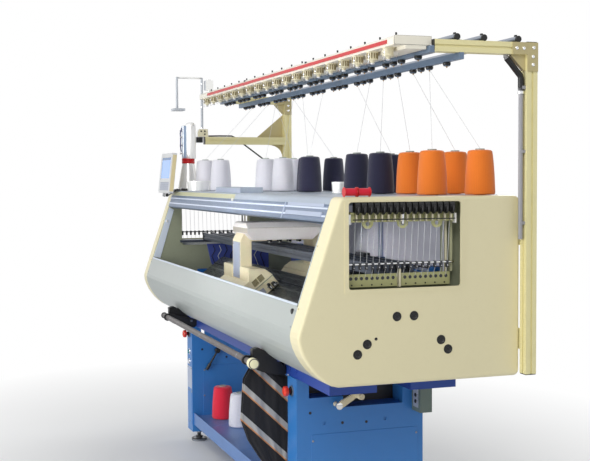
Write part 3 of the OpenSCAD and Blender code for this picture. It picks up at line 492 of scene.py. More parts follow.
ANODISED = Finish("champagne_anodised_post", (0.95, 0.915, 0.7), Grain.BRUSHED, 0.36, 0.12, age=0.1,
                  dirt=(0.6, 0.52, 0.33), bump=0.08)
PLATE_CREAM = Finish("cream_plate_paint", (0.75, 0.7, 0.52), age=0.16, dirt=(0.55, 0.48, 0.3))
SLATE = Finish("slate_blue_rail", (0.45, 0.53, 0.63), Grain.BRUSHED, 0.38, 0.4)
TUBE = Finish("satin_tube", (0.62, 0.65, 0.7), Grain.BRUSHED, 0.32, 0.8)
BAR_CREAM = Finish("ivory_bar_paint", (0.95, 0.93, 0.87), roughness=0.36, age=0.1)
RED = Finish("red_strip", (0.78, 0.05, 0.08), Grain.MOULDED, 0.32, age=0.05, dirt=(0.4, 0.1, 0.1))
UNIT_CREAM = Finish("cream_unit_moulding", (0.92, 0.89, 0.77), Grain.MOULDED, 0.42, age=0.2,
                    dirt=(0.5, 0.43, 0.28))
ENAMEL = Finish("white_enamel", (0.82, 0.83, 0.85), roughness=0.5, age=0.1)
CONDUIT = Finish("grey_conduit", (0.6, 0.6, 0.62), Grain.MOULDED, 0.45)
PANEL = Finish("panel_white_moulding", (0.84, 0.845, 0.85), Grain.MOULDED, 0.4, age=0.08)
PANEL_SIDE = Finish("panel_cream_side", (0.86, 0.8, 0.62), Grain.MOULDED, 0.42, age=0.12)
SCREEN = Finish("blue_screen_glass", (0.42, 0.62, 0.88), Grain.PLAIN, 0.16, age=0.1, dirt=(0.25, 0.45, 0.75),
                bump=0, coat=0.5, glow=0.25)
KEY_GREY = Finish("keypad_grey", (0.64, 0.66, 0.71), Grain.MOULDED, 0.45, age=0.1)
STOP_RED = Finish("stop_button_red", (0.87, 0.2, 0.1), Grain.MOULDED, 0.3, age=0.08, coat=0.3)
KNOB = Finish("beige_knob", (0.85, 0.8, 0.66), Grain.MOULDED, 0.36)
TRAY = Finish("blue_tray_paint", (0.36, 0.5, 0.72), age=0.3)
# For the yarns, the second colour is painted shade in the grooves between wound strands.
ORANGE_YARN = Finish("orange_yarn", (0.985, 0.54, 0.13), Grain.WOUND, 0.85, dirt=(0.83, 0.3, 0.05), bump=0.6)
NAVY_YARN = Finish("navy_yarn", (0.08, 0.08, 0.23), Grain.WOUND, 0.85, dirt=(0.03, 0.03, 0.09), bump=0.6)
WHITE_YARN = Finish("white_yarn", (0.96, 0.955, 0.975), Grain.WOUND, 0.85, dirt=(0.78, 0.78, 0.86), bump=0.6)
RED_YARN = Finish("red_yarn", (0.97, 0.13, 0.26), Grain.WOUND, 0.85, dirt=(0.72, 0.05, 0.16), bump=0.6)
PAPER = Finish("paper_tube", (0.62, 0.66, 0.63), Grain.MOULDED, 0.7, age=0.2)
LOOSE_YARN = Finish("running_yarn", (0.86, 0.87, 0.88), Grain.PLAIN, 0.8, age=0.1)
CLOTH = Finish("banded_knit", (0.045, 0.045, 0.085), Grain.KNIT, 0.85, bump=0.5)
BLACK_CLOTH = Finish("black_knit", (0.03, 0.03, 0.035), Grain.MOULDED, 0.9, age=0.1, bump=0.6, skin=900)
SHEET_WHITE = Finish("white_inner_sheet", (0.93, 0.94, 0.95), Grain.PLAIN, 0.6, age=0.08)
TEAL = Finish("teal_housing", (0.18, 0.52, 0.52), Grain.MOULDED, 0.45, age=0.1)
BRIGHT_BLUE = Finish("bright_blue_housing", (0.1, 0.42, 0.72), roughness=0.36, dirt=(0.1, 0.2, 0.3))
GREY_BLUE = Finish("grey_blue_strip", (0.64, 0.68, 0.76), age=0.12)
# Pale blue: the painted highlight along the front cover's upper lip, and the pale edging strips of the front
# opening.
PALE_TRIM_AND_LIP_HIGHLIGHT = Finish("pale_blue_lip", (0.83, 0.87, 0.92), Grain.MOULDED, 0.35, age=0.1)
EDGE_OLIVE = Finish("olive_cream_edge", (0.76, 0.76, 0.62), age=0.2)
VENT_TAN = Finish("tan_vent", (0.62, 0.58, 0.42), Grain.MOULDED, 0.5, age=0.16)
TIP_TAN = Finish("tan_eyelet_tip", (0.72, 0.56, 0.36), Grain.MOULDED, 0.4, age=0.06)
UNIT_BROWN = Finish("brown_unit_rib", (0.56, 0.5, 0.34), Grain.MOULDED, 0.5, age=0.2)
SCREEN_DARK = Finish("dark_screen_bar", (0.3, 0.46, 0.66), Grain.PLAIN, 0.2, age=0.06)
KEY_PALE = Finish("pale_keys", (0.72, 0.74, 0.79), Grain.MOULDED, 0.45, age=0.1)
SHEET_GREY = Finish("pale_grey_leg_plate", (0.68, 0.72, 0.8), roughness=0.45)
CAP_IVORY = Finish("ivory_bar_cap", (0.93, 0.91, 0.76), Grain.MOULDED, 0.4, age=0.1)
WALL_BLUE = Finish("deep_blue_inner_wall", (0.3, 0.36, 0.68), roughness=0.5, age=0.3, dirt=(0.12, 0.14, 0.3))
# Painted light: this pale colour stands in for light on the upper part of the rear wall.
WALL_PAINTED_LIGHT = Finish("pale_inner_wall", (0.93, 0.93, 0.98), roughness=0.6, age=0.1, dirt=(0.75, 0.76, 0.84))
STEEL_BLUE = Finish("blue_grey_winder", (0.62, 0.7, 0.8), roughness=0.36, age=0.12)
BLUE_LINE = Finish("dark_blue_lead", (0.16, 0.2, 0.42), Grain.MOULDED, 0.45, age=0.1)
LAMP_WHITE = Finish("white_lamp_rod", (0.74, 0.76, 0.79), roughness=0.3, age=0.06)
BAR_GREY = Finish("grey_start_bar", (0.45, 0.43, 0.43), Grain.BRUSHED, 0.4, 0.5, age=0.2)
# Painted shade: tan-grey for the hood's shaded front end and the line along its crease.
HOOD_END_SHADE = Finish("tan_grey_hood_end", (0.7, 0.68, 0.63), roughness=0.42)

FINISH_OF_SLOT: dict[str, Finish] = {
    "blue_paint": LEG_BLUE, "deep_blue_paint": BEAM_BLUE, "tray_sheet": TRAY, "black_steel": BLACK_STEEL,
    "olive_paint": OLIVE, "bed_steel": BED_STEEL, "rail_steel": RAIL_STEEL, "dark_rail": DARK_RAIL,
    "feeder_white": WHITE_MOULD, "feeder_dark": DARK_MOULD, "cream_paint": BODY_CREAM,
    "hood_white": HOOD_WHITE, "cam_cover_paint": BODY_CREAM, "roller_rubber": RUBBER,
    "bracket_steel": PLATE_STEEL, "motor_grey": MOTOR_GREY, "pulley_alu": PULLEY, "belt_rubber": BELT,
    "cover_cream": CREAM, "cover_silver": SILVER, "rear_cream": REAR_CREAM, "table_grey": TABLE_GREY,
    "track_blue": TRACK_BLUE, "plate_green": TENSION_GREEN, "black_plastic": BLACK,
    "bright_chrome": CHROME, "post_alu": ANODISED, "plate_cream": PLATE_CREAM, "slate_rail": SLATE,
    "tube_alu": TUBE, "bar_cream": BAR_CREAM, "strip_red": RED, "unit_cream": UNIT_CREAM,
    "white_enamel": ENAMEL, "conduit_grey": CONDUIT, "panel_plastic": PANEL, "estop_red": STOP_RED,
    "bar_steel": BAR_GREY, "knob_beige": KNOB, "yarn_orange": ORANGE_YARN, "yarn_navy": NAVY_YARN,
    "yarn_white": WHITE_YARN, "yarn_red": RED_YARN, "ware_white": ENAMEL, "knit_black": BLACK_CLOTH,
    "yarn_thin": LOOSE_YARN,
}


def dress_frame() -> None:
    """Gives every CAD node the finish of its material slot."""
    for part in frame["record"]["subparts"]:
        materials = frame["nodes"][part["node"]].data.materials
        finish = FINISH_OF_SLOT[part["material_slot"]].material()
        for index in range(max(1, len(materials))):
            if len(materials) == 0:
                materials.append(finish)
            materials[index] = finish


class Form:
    """Gathers shapes in millimetres from the needle gap into one mesh piece."""

    def __init__(self, name: str) -> None:
        """Starts an empty form.

        Args:
            name: The piece's name.
        """
        self.name = name
        self.mesh = bmesh.new()
        self.local = self.mesh.verts.layers.float_vector.new("local")
        self.finishes: list[Finish] = []
        self.turn: Optional[Callable[[Point], Point]] = None

    def add(self, finish: Finish, points: Iterable[Point], cells: Iterable[Sequence[int]],
            edge: float = 0, origin: Optional[Point] = None) -> None:
        """Adds faces over points.

        Args:
            finish: The faces' finish.
            points: Corner points.
            cells: Point numbers of each face.
            edge: Width of the chamfer along all edges.
            origin: Where a winding's own coordinates start.
        """
        if finish not in self.finishes:
            self.finishes.append(finish)
        index = self.finishes.index(finish)
        corners = []
        for point in points:
            shown = self.turn(point) if self.turn else point
            corner = self.mesh.verts.new(at(*shown))
            if origin is not None:
                corner[self.local] = (Vector(point) - Vector(origin)) * MM
            corners.append(corner)
        faces = []
        for cell in cells:
            face = self.mesh.faces.new([corners[i] for i in cell])
            face.material_index = index
            face.smooth = True
            faces.append(face)
        if edge > 0:
            rims = list({rim for face in faces for rim in face.edges})
            bmesh.ops.bevel(self.mesh, geom=rims, offset=edge * MM, offset_type="OFFSET", segments=1,
                            profile=0.5, affect="EDGES", clamp_overlap=True)

    def box(self, finish: Finish, low: Point, high: Point, edge: float = 0) -> None:
        """Adds a box with chamfered edges.

        Args:
            finish: Its finish.
            low: One corner.
            high: The corner across from it.
            edge: Width of the chamfer.
        """
        (x0, y0, z0), (x1, y1, z1) = low, high
        self.prism(finish, Z, [(x0, y0), (x1, y0), (x1, y1), (x0, y1)], z0, z1, edge)

    def block(self, finish: Finish, middle: Sequence[float], half: Sequence[float], levels: Sequence[float],
              edge: float = 0) -> None:
        """Adds an upright box round a middle.

        Args:
            finish: Its finish.
            middle: X and Y of its middle.
            half: Half its size in X and Y.
            levels: Its low and high Z.
            edge: Width of the chamfer.
        """
        (x, y), (dx, dy) = middle, half
        self.box(finish, (x - dx, y - dy, levels[0]), (x + dx, y + dy, levels[1]), edge)

    def prism(self, finish: Finish, axis: Axis, outline: Outline, start: float, end: float,
              edge: float = 0) -> None:
        """Pulls an outline along an axis.

        Args:
            finish: Its finish.
            axis: The direction it is pulled in.
            outline: Corners in the other two axes, in X, Y, Z order.
            start: Where it starts on the axis.
            end: Where it ends.
            edge: Width of the chamfer.
        """
        count = len(outline)
        points = [*axis.lift(outline, start), *axis.lift(outline, end)]
        cells: list[Sequence[int]] = [tuple(range(count - 1, -1, -1)), tuple(range(count, 2 * count))]
        cells += [(i, (i + 1) % count, count + (i + 1) % count, count + i) for i in range(count)]
        self.add(finish, points, cells, edge)

    def turned(self, finish: Finish, axis: Axis, centre: Point, profile: Outline, sides: int = 24,
               origin: Optional[Point] = None, facing: int = 1) -> None:
        """Turns a profile of (radius, distance along the axis) pairs about an axis.

        Args:
            finish: Its finish.
            axis: The axis it turns about.
            centre: Where the axis's zero is.
            profile: Radius and distance pairs; a radius of 0 closes an end.
            sides: Facets round it.
            origin: Where a winding's own coordinates start.
            facing: 1 when the distances run up the axis, -1 when down.
        """
        first, second = [a for a in range(3) if a != axis.value]
        points: list[list[float]] = []
        rings: list[list[int]] = []
        for radius, along in profile:
            loop = []
            for step in range(1 if radius <= 0 else sides):
                angle = 2 * math.pi * step / sides
                point = list(centre)
                point[axis.value] += along * facing
                point[first] += radius * math.cos(angle)
                point[second] += radius * math.sin(angle)
                loop.append(len(points))
                points.append(point)
            rings.append(loop * sides if radius <= 0 else loop)
        cells: list[Sequence[int]] = []
        for one, two in zip(rings, rings[1:]):
            for step in range(sides):
                after = (step + 1) % sides
                cell = list(dict.fromkeys((one[step], one[after], two[after], two[step])))
                if len(cell) > 2:
                    cells.append(cell)
        if profile[0][0] > 0:
            cells.append(tuple(rings[0]))
        if profile[-1][0] > 0:
            cells.append(tuple(rings[-1]))
        self.add(finish, points, cells, origin=origin)

    def sweep(self, finish: Finish, path: Sequence[Point], radius: float, sides: int = 8) -> None:
        """Runs a round wire along a path.

        Args:
            finish: Its finish.
            path: Points along its middle.
            radius: Its radius.
            sides: Facets round it.
        """
        spots = [Vector(p) for p in path]
        points: list[Vector] = []
        cells: list[Sequence[int]] = []
        side = Vector((0, 0, 1))
        for index, spot in enumerate(spots):
            ahead = (spots[min(index + 1, len(spots) - 1)] - spots[max(index - 1, 0)]).normalized()
            across = side - ahead * side.dot(ahead)
            if across.length < 0.1:
                across = Vector((0, 1, 0)) - ahead * ahead.y
            side = across.normalized()
            other = ahead.cross(side)
            for step in range(sides):
                angle = 2 * math.pi * step / sides
                points.append(spot + (side * math.cos(angle) + other * math.sin(angle)) * radius)
        for loop in range(len(spots) - 1):
            for step in range(sides):
                after = (step + 1) % sides
                base = loop * sides
                cells.append((base + step, base + after, base + sides + after, base + sides + step))
        cells.append(tuple(range(sides)))
        cells.append(tuple(range(len(points) - sides, len(points))))
        self.add(finish, points, cells)

    def screw(self, finish: Finish, axis: Axis, centre: Point, radius: float, facing: int = 1) -> None:
        """Adds a socket screw's head that stands on a face.

        Args:
            finish: Its finish.
            axis: The axis it stands along.
            centre: The middle of its seat.
            radius: The head's radius.
            facing: 1 when the head points up the axis, -1 when down.
        """
        high = 0.62 * radius
        profile = [(radius, 0), (radius, 0.75 * high), (0.82 * radius, high), (0.5 * radius, high),
                   (0.42 * radius, 0.45 * high), (0, 0.45 * high)]
        self.turned(finish, axis, centre, profile, 12, facing=facing)

    def piece(self, body: str, slot: str, *replaced: str, sharp: float = 31) -> bpy.types.Object:
        """Turns the form into an object that rides on a body.

        Args:
            body: The CAD body that carries it.
            slot: The record's material slot; not used.
            replaced: CAD nodes that it stands for.
            sharp: Edges bent by more degrees than this stay crisp.

        Returns:
            The object.
        """
        bmesh.ops.recalc_face_normals(self.mesh, faces=self.mesh.faces)
        data = bpy.data.meshes.new(self.name)
        self.mesh.to_mesh(data)
        self.mesh.free()
        data.set_sharp_from_angle(angle=math.radians(sharp))
        for finish in self.finishes:
            data.materials.append(finish.material())
        shown = bpy.data.objects.new(self.name, data)
        bpy.context.collection.objects.link(shown)
        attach(shown, body)
        if replaced:
            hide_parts(*replaced)
        log.info("%s: %d faces on %s", self.name, len(data.polygons), body)
        return shown


def on_slant(s: float, t: float = 0) -> Pair:
    """Gives Y and Z of a point on the slanted front.

    Args:
        s: Distance down the slant from the table's front edge.
        t: Depth behind its face.

    Returns:
        Y and Z in millimetres.
    """
    return (FRONT_Y - s * math.sin(SLANT) + t * math.cos(SLANT),
            TABLE_Z - s * math.cos(SLANT) - t * math.sin(SLANT))


def on_bed(s: float, t: float, side: int = -1) -> Pair:
    """Gives Y and Z of a point on a needle bed.

    Args:
        s: Distance down the bed from the needle gap.
        t: Height over its face.
        side: -1 for the front bed, 1 for the rear one.

    Returns:
        Y and Z in millimetres.
    """
    return (side * (HALF_GAP + s * math.cos(BED_ANGLE) + t * math.sin(BED_ANGLE)),
            GAP_Z - s * math.sin(BED_ANGLE) + t * math.cos(BED_ANGLE))


def slant_quad(s0: float, s1: float, t0: float, t1: float) -> Outline:
    """Outlines a strip on the slanted front.

    Args:
        s0: Its first distance down the slant.
        s1: Its second one.
        t0: Its first depth behind the face.
        t1: Its second one.

    Returns:
        Y and Z of its four corners.
    """
    return [on_slant(s0, t0), on_slant(s1, t0), on_slant(s1, t1), on_slant(s0, t1)]


def bed_quad(s0: float, s1: float, t0: float, t1: float, side: int) -> Outline:
    """Outlines a strip on a needle bed.

    Args:
        s0: Its first distance down the bed.
        s1: Its second one.
        t0: Its first height over the face.
        t1: Its second one.
        side: -1 for the front bed, 1 for the rear one.

    Returns:
        Y and Z of its four corners.
    """
    return [on_bed(s0, t0, side), on_bed(s1, t0, side), on_bed(s1, t1, side), on_bed(s0, t1, side)]


def rounded(low: Sequence[float], high: Sequence[float], radius: float,
            steps: int = 4) -> Outline:
    """Outlines a rectangle with rounded corners.

    Args:
        low: Its low corner.
        high: Its high corner.
        radius: The corners' radius.
        steps: Sides to each corner.

    Returns:
        The outline's points.
    """
    centres = ((high[0] - radius, high[1] - radius), (low[0] + radius, high[1] - radius),
               (low[0] + radius, low[1] + radius), (high[0] - radius, low[1] + radius))
    points = []
    for quarter, (cx, cy) in enumerate(centres):
        for step in range(steps + 1):
            angle = math.pi / 2 * (quarter + step / steps)
            points.append((cx + radius * math.cos(angle), cy + radius * math.sin(angle)))
    return points


def between(pairs: Sequence[Pair], where: float) -> float:
    """Reads a value off a list of (place, value) pairs.

    Args:
        pairs: The pairs, in falling order of place.
        where: The place to read at.

    Returns:
        The value there.
    """
    for (one, a), (two, b) in zip(pairs, pairs[1:]):
        if where >= two:
            share = 0 if one == two else max(0, min(1, (one - where) / (one - two)))
            return a + (b - a) * share
    return pairs[-1][1]


def ring(form: Form, finish: Finish, axis: Axis, outer: Outline, inner: Outline, start: float,
         end: float) -> None:
    """Adds a flat frame between two outlines with the same number of points.

    Args:
        form: The form to add to.
        finish: Its finish.
        axis: The direction of its depth.
        outer: The outer outline.
        inner: The inner outline.
        start: Where it starts on the axis.
        end: Where it ends.
    """
    count = len(outer)
    points = [point for where in (start, end) for outline in (outer, inner)
              for point in axis.lift(outline, where)]
    cells = []
    for i in range(count):
        j = (i + 1) % count
        for one, two in ((0, count), (count, 3 * count), (3 * count, 2 * count), (2 * count, 0)):
            cells.append((one + i, one + j, two + j, two + i))
    form.add(finish, points, cells)


@dataclass
class YarnCones:
    """The cones of yarn on the table and in the bottom tray.

    Attributes:
        radius: Radius at the foot of a winding.
        height: Height of the paper tube.
        orange: Places of the orange cones on the table.
        navy: Places of the navy cones.
        white: Places of the white cones.
        tray_white: Place of the white cone in the tray.
        tray_red: Place of the red cone in the tray.
        spools: Places of the two small red spools.
        flange: Radius of a spool.
    """

    radius: float = 60
    height: float = 182
    orange: Sequence[Pair] = ((842, 280), (1153, 230), (962, 430), (1240, 395))
    navy: Sequence[Pair] = ((-46, 150), (-297, 230), (-417, 420), (568, 150), (735, 190), (422, 380))
    white: Sequence[Pair] = ((-707, 130), (-469, 150), (-726, 300), (-1170, -94), (-960, -59))
    tray_white: Point = (-500, -90, 150)
    tray_red: Point = (-722, -123, 150)
    spools: Sequence[Pair] = ((1358, -227), (1358, -174))
    flange: float = 18

    def cone(self, form: Form, yarn: Finish, foot: Point) -> None:
        """Winds one cone on its paper tube.

        Args:
            form: The form to add to.
            yarn: The finish of its yarn.
            foot: The middle of its foot.
        """
        r, h = self.radius, self.height
        winding = [(0.5 * r, 1.5), (0.93 * r, 2), (0.99 * r, 6), (r, 12), (0.985 * r, 34), (0.95 * r, 80),
                   (0.895 * r, 124), (0.835 * r, h - 24), (0.8 * r, h - 12), (0.72 * r, h - 7), (0.52 * r,
                                                                                                 h - 5),
                   (18.5, h - 4.5)]
        form.turned(yarn, Z, foot, winding, 40, origin=foot)
        tube = [(22, 0.2), (24, 0.8), (24, 3), (18.6, h - 18), (18.2, h - 0.8), (17.4, h), (15.4, h),
                (15, h - 3),
                (15.6, h - 60)]
        form.turned(PAPER, Z, foot, tube, 24)

    def batch(self, name: str, yarn: Finish, feet: Iterable[Point], slot: str, node: str) -> None:
        """Makes one piece of several cones.

        Args:
            name: The piece's name.
            yarn: The finish of its yarn.
            feet: The middle of each cone's foot.
            slot: The record's slot.
            node: The CAD node that it stands for.
        """
        form = Form(name)
        for foot in feet:
            self.cone(form, yarn, foot)
        form.piece(MACHINE, slot, node)

    def build(self) -> None:
        """Winds every cone and spool."""
        orange, navy, white = ([(*spot, TABLE_Z) for spot in spots] for spots in (self.orange, self.navy,
                                                                                  self.white))
        self.batch("orange_cones", ORANGE_YARN, orange, "yarn_orange", "cones_orange")
        self.batch("navy_cones", NAVY_YARN, navy, "yarn_navy", "cones_navy")
        self.batch("white_cones", WHITE_YARN, [*white, self.tray_white], "yarn_white", "cones_white")
        form = Form("red_cone_and_spools")
        self.cone(form, RED_YARN, self.tray_red)
        z = TABLE_Z + self.flange
        for x, y in self.spools:
            for start in (0, 47):
                form.turned(RED, Y, (x, y + start, z),
                            [(4, 0), (17.2, 0), (18, 0.6), (18, 2.4), (17.2, 3), (4, 3)], 28)
            form.turned(RED_YARN, Y, (x, y, z), [(13, 3), (13.8, 6), (14, 25), (13.8, 44), (13, 47)], 28)
        form.piece(MACHINE, "yarn_red", "red_yarn")


@dataclass
class DrapedCloth:
    """The knitted panel that hangs over the right start-bar arm.

    Attributes:
        arm: Place of the arm along the machine.
        top: Height of the fold.
        drop: Length that hangs on each side.
        width: Width of the cloth.
        thick: Its thickness.
        bend: Length of the bend over the arm, on each side.
        crown: How far the bend drops.
        off: Distance of the cloth from the arm's middle.
        across: Columns of the mesh.
        down: Rows on each side.
        front: Height and Y of its front edge.
        rear: Height and Y of its rear edge.
    """

    arm: float = 750
    top: float = 745
    drop: float = 492
    width: float = 220
    thick: float = 1.6
    bend: float = 11
    crown: float = 1.2
    off: float = 7.6
    across: int = 54
    down: int = 90
    front: Outline = ((745, -398), (700, -399), (640, -434), (470, -446), (380, -414), (250, -332))
    rear: Outline = ((745, -346), (728, -340), (690, -271), (655, -266), (636, -236), (250, -252))

    def points(self) -> Iterable[Point]:
        """Places the mesh's points, row by row.

        Returns:
            Each point in millimetres, in turn.
        """
        for row in range(-self.down, self.down + 1):
            run = row / self.down * self.drop
            way = 1 if run > 0 else -1
            over = min(1, abs(run) / self.bend)
            fall = max(0, abs(run) - self.bend)
            height = self.top - self.crown * over ** 2 - fall
            start, end = between(self.front, height), between(self.rear, height)
            depth = min(1, fall / 90)
            for column in range(self.across + 1):
                u = column / self.across
                phase = 0.12 * 2 * math.pi + fall * 0.006 + (0.9 if way > 0 else 0)
                swing = 0.5 + 0.5 * math.sin(2 * math.pi * 2.6 * u + phase)
                small = 0.5 + 0.5 * math.sin(2 * math.pi * 6.5 * u - fall * 0.011)
                proud = self.off + depth * (5.2 * swing + 1.6 * small)
                sag = 6 * depth * math.sin(math.pi * u) * (fall / self.drop)
                yield (self.arm + way * over * proud, start + (end - start) * u, height - sag)

    def build(self) -> None:
        """Hangs the cloth, gathered at the fold and spreading below it."""
        wide = self.across + 1
        corners = [row * wide + column for row in range(2 * self.down) for column in range(self.across)]
        form = Form("draped_cloth")
        form.add(CLOTH, self.points(), [(i, i + 1, i + wide + 1, i + wide) for i in corners])
        shown = form.piece(MACHINE, "knit_black", "fabric_panel", sharp=80)
        thick = shown.modifiers.new("thickness", "SOLIDIFY")
        thick.thickness = self.thick * MM
        thick.offset = 0


@dataclass
class NeedleBeds:
    """Needles, strips and screws of the two beds.

    Attributes:
        length: Length of a bed.
        count: Needles in each.
        screws: Screws along each.
    """

    length: float = 2300
    count: int = 640
    screws: int = 24

    def bed(self, side: int, body: str) -> None:
        """Lays the needles of one bed.

        Args:
            side: -1 for the front bed, 1 for the rear one.
            body: The CAD body that carries it.
        """
        form = Form("front_needles" if side < 0 else "rear_needles")
        half = self.length / 2
        pitch = (self.length - 24) / self.count
        needle = [on_bed(s, t, side) for s,
                  t in ((1, 0.2), (1, 1.6), (40, 1.3), (150, 1.3), (150, -0.2), (1, -0.2))]
        butt = bed_quad(58, 63, 1, 4.4, side)
        for index in range(self.count):
            x = 12 - half + (index + 0.5) * pitch
            form.prism(RAIL_STEEL, X, needle, x - 0.8, x + 0.8)
            if index % 2 == 0:
                form.prism(DARK_MOULD, X, butt, x - 0.7, x + 0.7)
        for s0, s1, high, finish in ((22, 28, 2.2, RAIL_STEEL), (88, 98, 2.4, RAIL_STEEL),
                                     (184, 246, 1.2, PLATE_STEEL)):
            form.prism(finish, X, bed_quad(s0, s1, 0, high, side), 2 - half, half - 2)
        for index in range(self.screws):
            x = 50 - half + index * (self.length - 100) / (self.screws - 1)
            form.turned(BLACK_STEEL, Z, (x, *on_bed(215, 1, side)), [(6, 0), (6, 1.8), (3, 2.4), (0, 1.4)],
                        12)
        form.piece(body, "bed_steel")

    def build(self) -> None:
        """Lays both beds."""
        self.bed(-1, MACHINE)
        self.bed(1, "rear_bed")


@dataclass
class EndCoverTrim:
    """Window edgings, hole plugs and screws of the end covers.

    Attributes:
        window: Low and high Y, then low and high Z, of the yarn window.
        plugs: Y, Z and radius of each plugged hole.
    """

    window: tuple[float, float, float, float] = (-227, 228, 1062, 1382)
    plugs: Sequence[Point] = (
        (-34, 959, 12.5), (35, 959, 12.5), (-153, 862, 12.5), (-191, 826, 12.5), (146, 864, 12.5),
        (175, 827, 12.5), (-118, 880, 4))

    def side(self, end: int) -> None:
        """Trims one end cover.

        Args:
            end: 1 for the right cover, -1 for the left one.
        """
        form = Form("right_cover_trim" if end > 0 else "left_cover_trim")
        y0, y1, z0, z1 = self.window
        ring(form, CREAM, X, rounded((y0 - 2.4, z0 - 2.4), (y1 + 2.4, z1 + 2), 13),
             rounded((y0 + 1.8, z0 + 1.8), (y1 - 1.8, z1 - 0.6),
                     11), end * (X_OUT - 3.4), end * (X_OUT + 3.4))
        for y, z, r in self.plugs:
            plug = [(1.42 * r, -0.6), (1.42 * r, 0.8), (1.36 * r, 1.4), (r, 1.4), (r - 2.2, -0.4),
                    (0.42 * r, -0.9), (0, -0.9)]
            form.turned(BLACK, X, (end * X_OUT, y, z), plug, 24, facing=end)
            for step in range(6 if r > 10 else 0):
                angle = math.pi * step / 3
                form.turned(DARK_MOULD, X, (end * X_OUT, y + 7 * math.cos(angle), z + 7 * math.sin(angle)),
                            [(1.4, -1), (1.4, -0.2), (0, -0.2)], 8, facing=end)
        for z in (1180, 760):
            form.screw(BLACK_STEEL, Y, (end * (X_OUT - 40), 480, z), 5)
        for s in (190, 430):
            form.turned(PLATE_CREAM, Y, (end * (X_OUT - 78), *on_slant(s, -0.2)),
                        [(4.2, 1.5), (4.2, -0.6), (2.4, -1.6), (0, -1)], 14)
        form.piece(MACHINE, "cover_cream")

    def build(self) -> None:
        """Trims both covers."""
        for end in BOTH_ENDS:
            self.side(end)


@dataclass
class YarnWindows:
    """Caps, springs, wires and clips of the tension units.

    Attributes:
        units: Tension units in each window.
        pitch: Distance from one to the next.
    """

    units: int = 16
    pitch: float = 25.4

    def unit(self, form: Form, wires: Form, end: int, y: float) -> None:
        """Fits out one tension unit and its yarn.

        Args:
            form: The window's form.
            wires: The form of its yarns.
            end: 1 for the right window, -1 for the left one.
            y: The unit's place across the machine.
        """
        form.turned(BLACK, X, (end * 1407, y, 1360),
                    [(7.6, 0), (7.6, 2.6), (6.2, 4), (3, 4), (2.4, 3), (0, 3)], 20, facing=end)
        form.block(UNIT_CREAM, (end * 1389, y), (5, 3.4), (1309, 1342.8), 0.8)
        form.turned(BLACK, Y, (end * 1403, y - 5, 1352),
                    [(0, 0), (15, 0.4), (17, 2), (17, 7), (15, 8.6), (0, 9)], 24)
        wires.sweep(LOOSE_YARN,
                    [(end * 1364, y, 1158), (end * 1362, y + 1, 1140), (end * 1341.5, y + 2, 1098)],
                    0.8, 6)
        form.block(DARK_MOULD, (end * 1360, y), (6, 4.6), (1132, 1157.6), 1.2)
        form.turned(CHROME, X, (end * 1366, y, 1139), [(1.8, 0), (2.4, 0.6), (2.4, 1.4), (1.8, 2)], 12,
                    facing=end)

    def side(self, end: int) -> None:
        """Fits out one window.

        Args:
            end: 1 for the right window, -1 for the left one.
        """
        form = Form("right_tensioners" if end > 0 else "left_tensioners")
        wires = Form("right_wires" if end > 0 else "left_wires")
        for index in range(self.units):
            self.unit(form, wires, end, (index - (self.units - 1) / 2) * self.pitch)
        for start in (-210.5, 8):
            for index in range(9):
                form.turned(DARK_MOULD, X, (end * 1343, start + 16 + index * 170.5 / 8, 1098),
                            [(5.4, 0), (6.6, 0.5), (5.8, 1), (4.6, 0.8), (4.6, -3), (0, -3)], 16, facing=end)
            for index in range(5):
                form.screw(BLACK_STEEL, X, (end * 1343, start + 20 + index * 40, 1074), 3, end)
        form.box(SHEET_WHITE, (end * 1318, -206, 1074), (end * 1320, 206, 1110))
        form.turned(BLACK_STEEL, Y, (end * 1396, -206, 1317),
                    [(1.6, 0), (2.2, 0.6), (2.2, 411.4), (1.6, 412)], 10)
        form.block(UNIT_CREAM, (end * 1346, 0), (5, 6), (1062, 1132), 1.4)
        for y, finish in ((-214, ENAMEL), (-2, CHROME), (214, ENAMEL)):
            form.block(finish, (end * 1376, y), (7, 6), (1298, 1338), 1.6)
        for y, wide, finish in ((177, 4, OLIVE), (194, 4, UNIT_CREAM), (216, 6, EDGE_OLIVE)):
            form.block(finish, (end * 1340, y), (4, wide), (1114, 1340), 1)
        form.piece(MACHINE, "black_plastic")
        wires.piece(MACHINE, "bright_chrome")

    def build(self) -> None:
        """Fits out both windows."""
        for end in BOTH_ENDS:
            self.side(end)


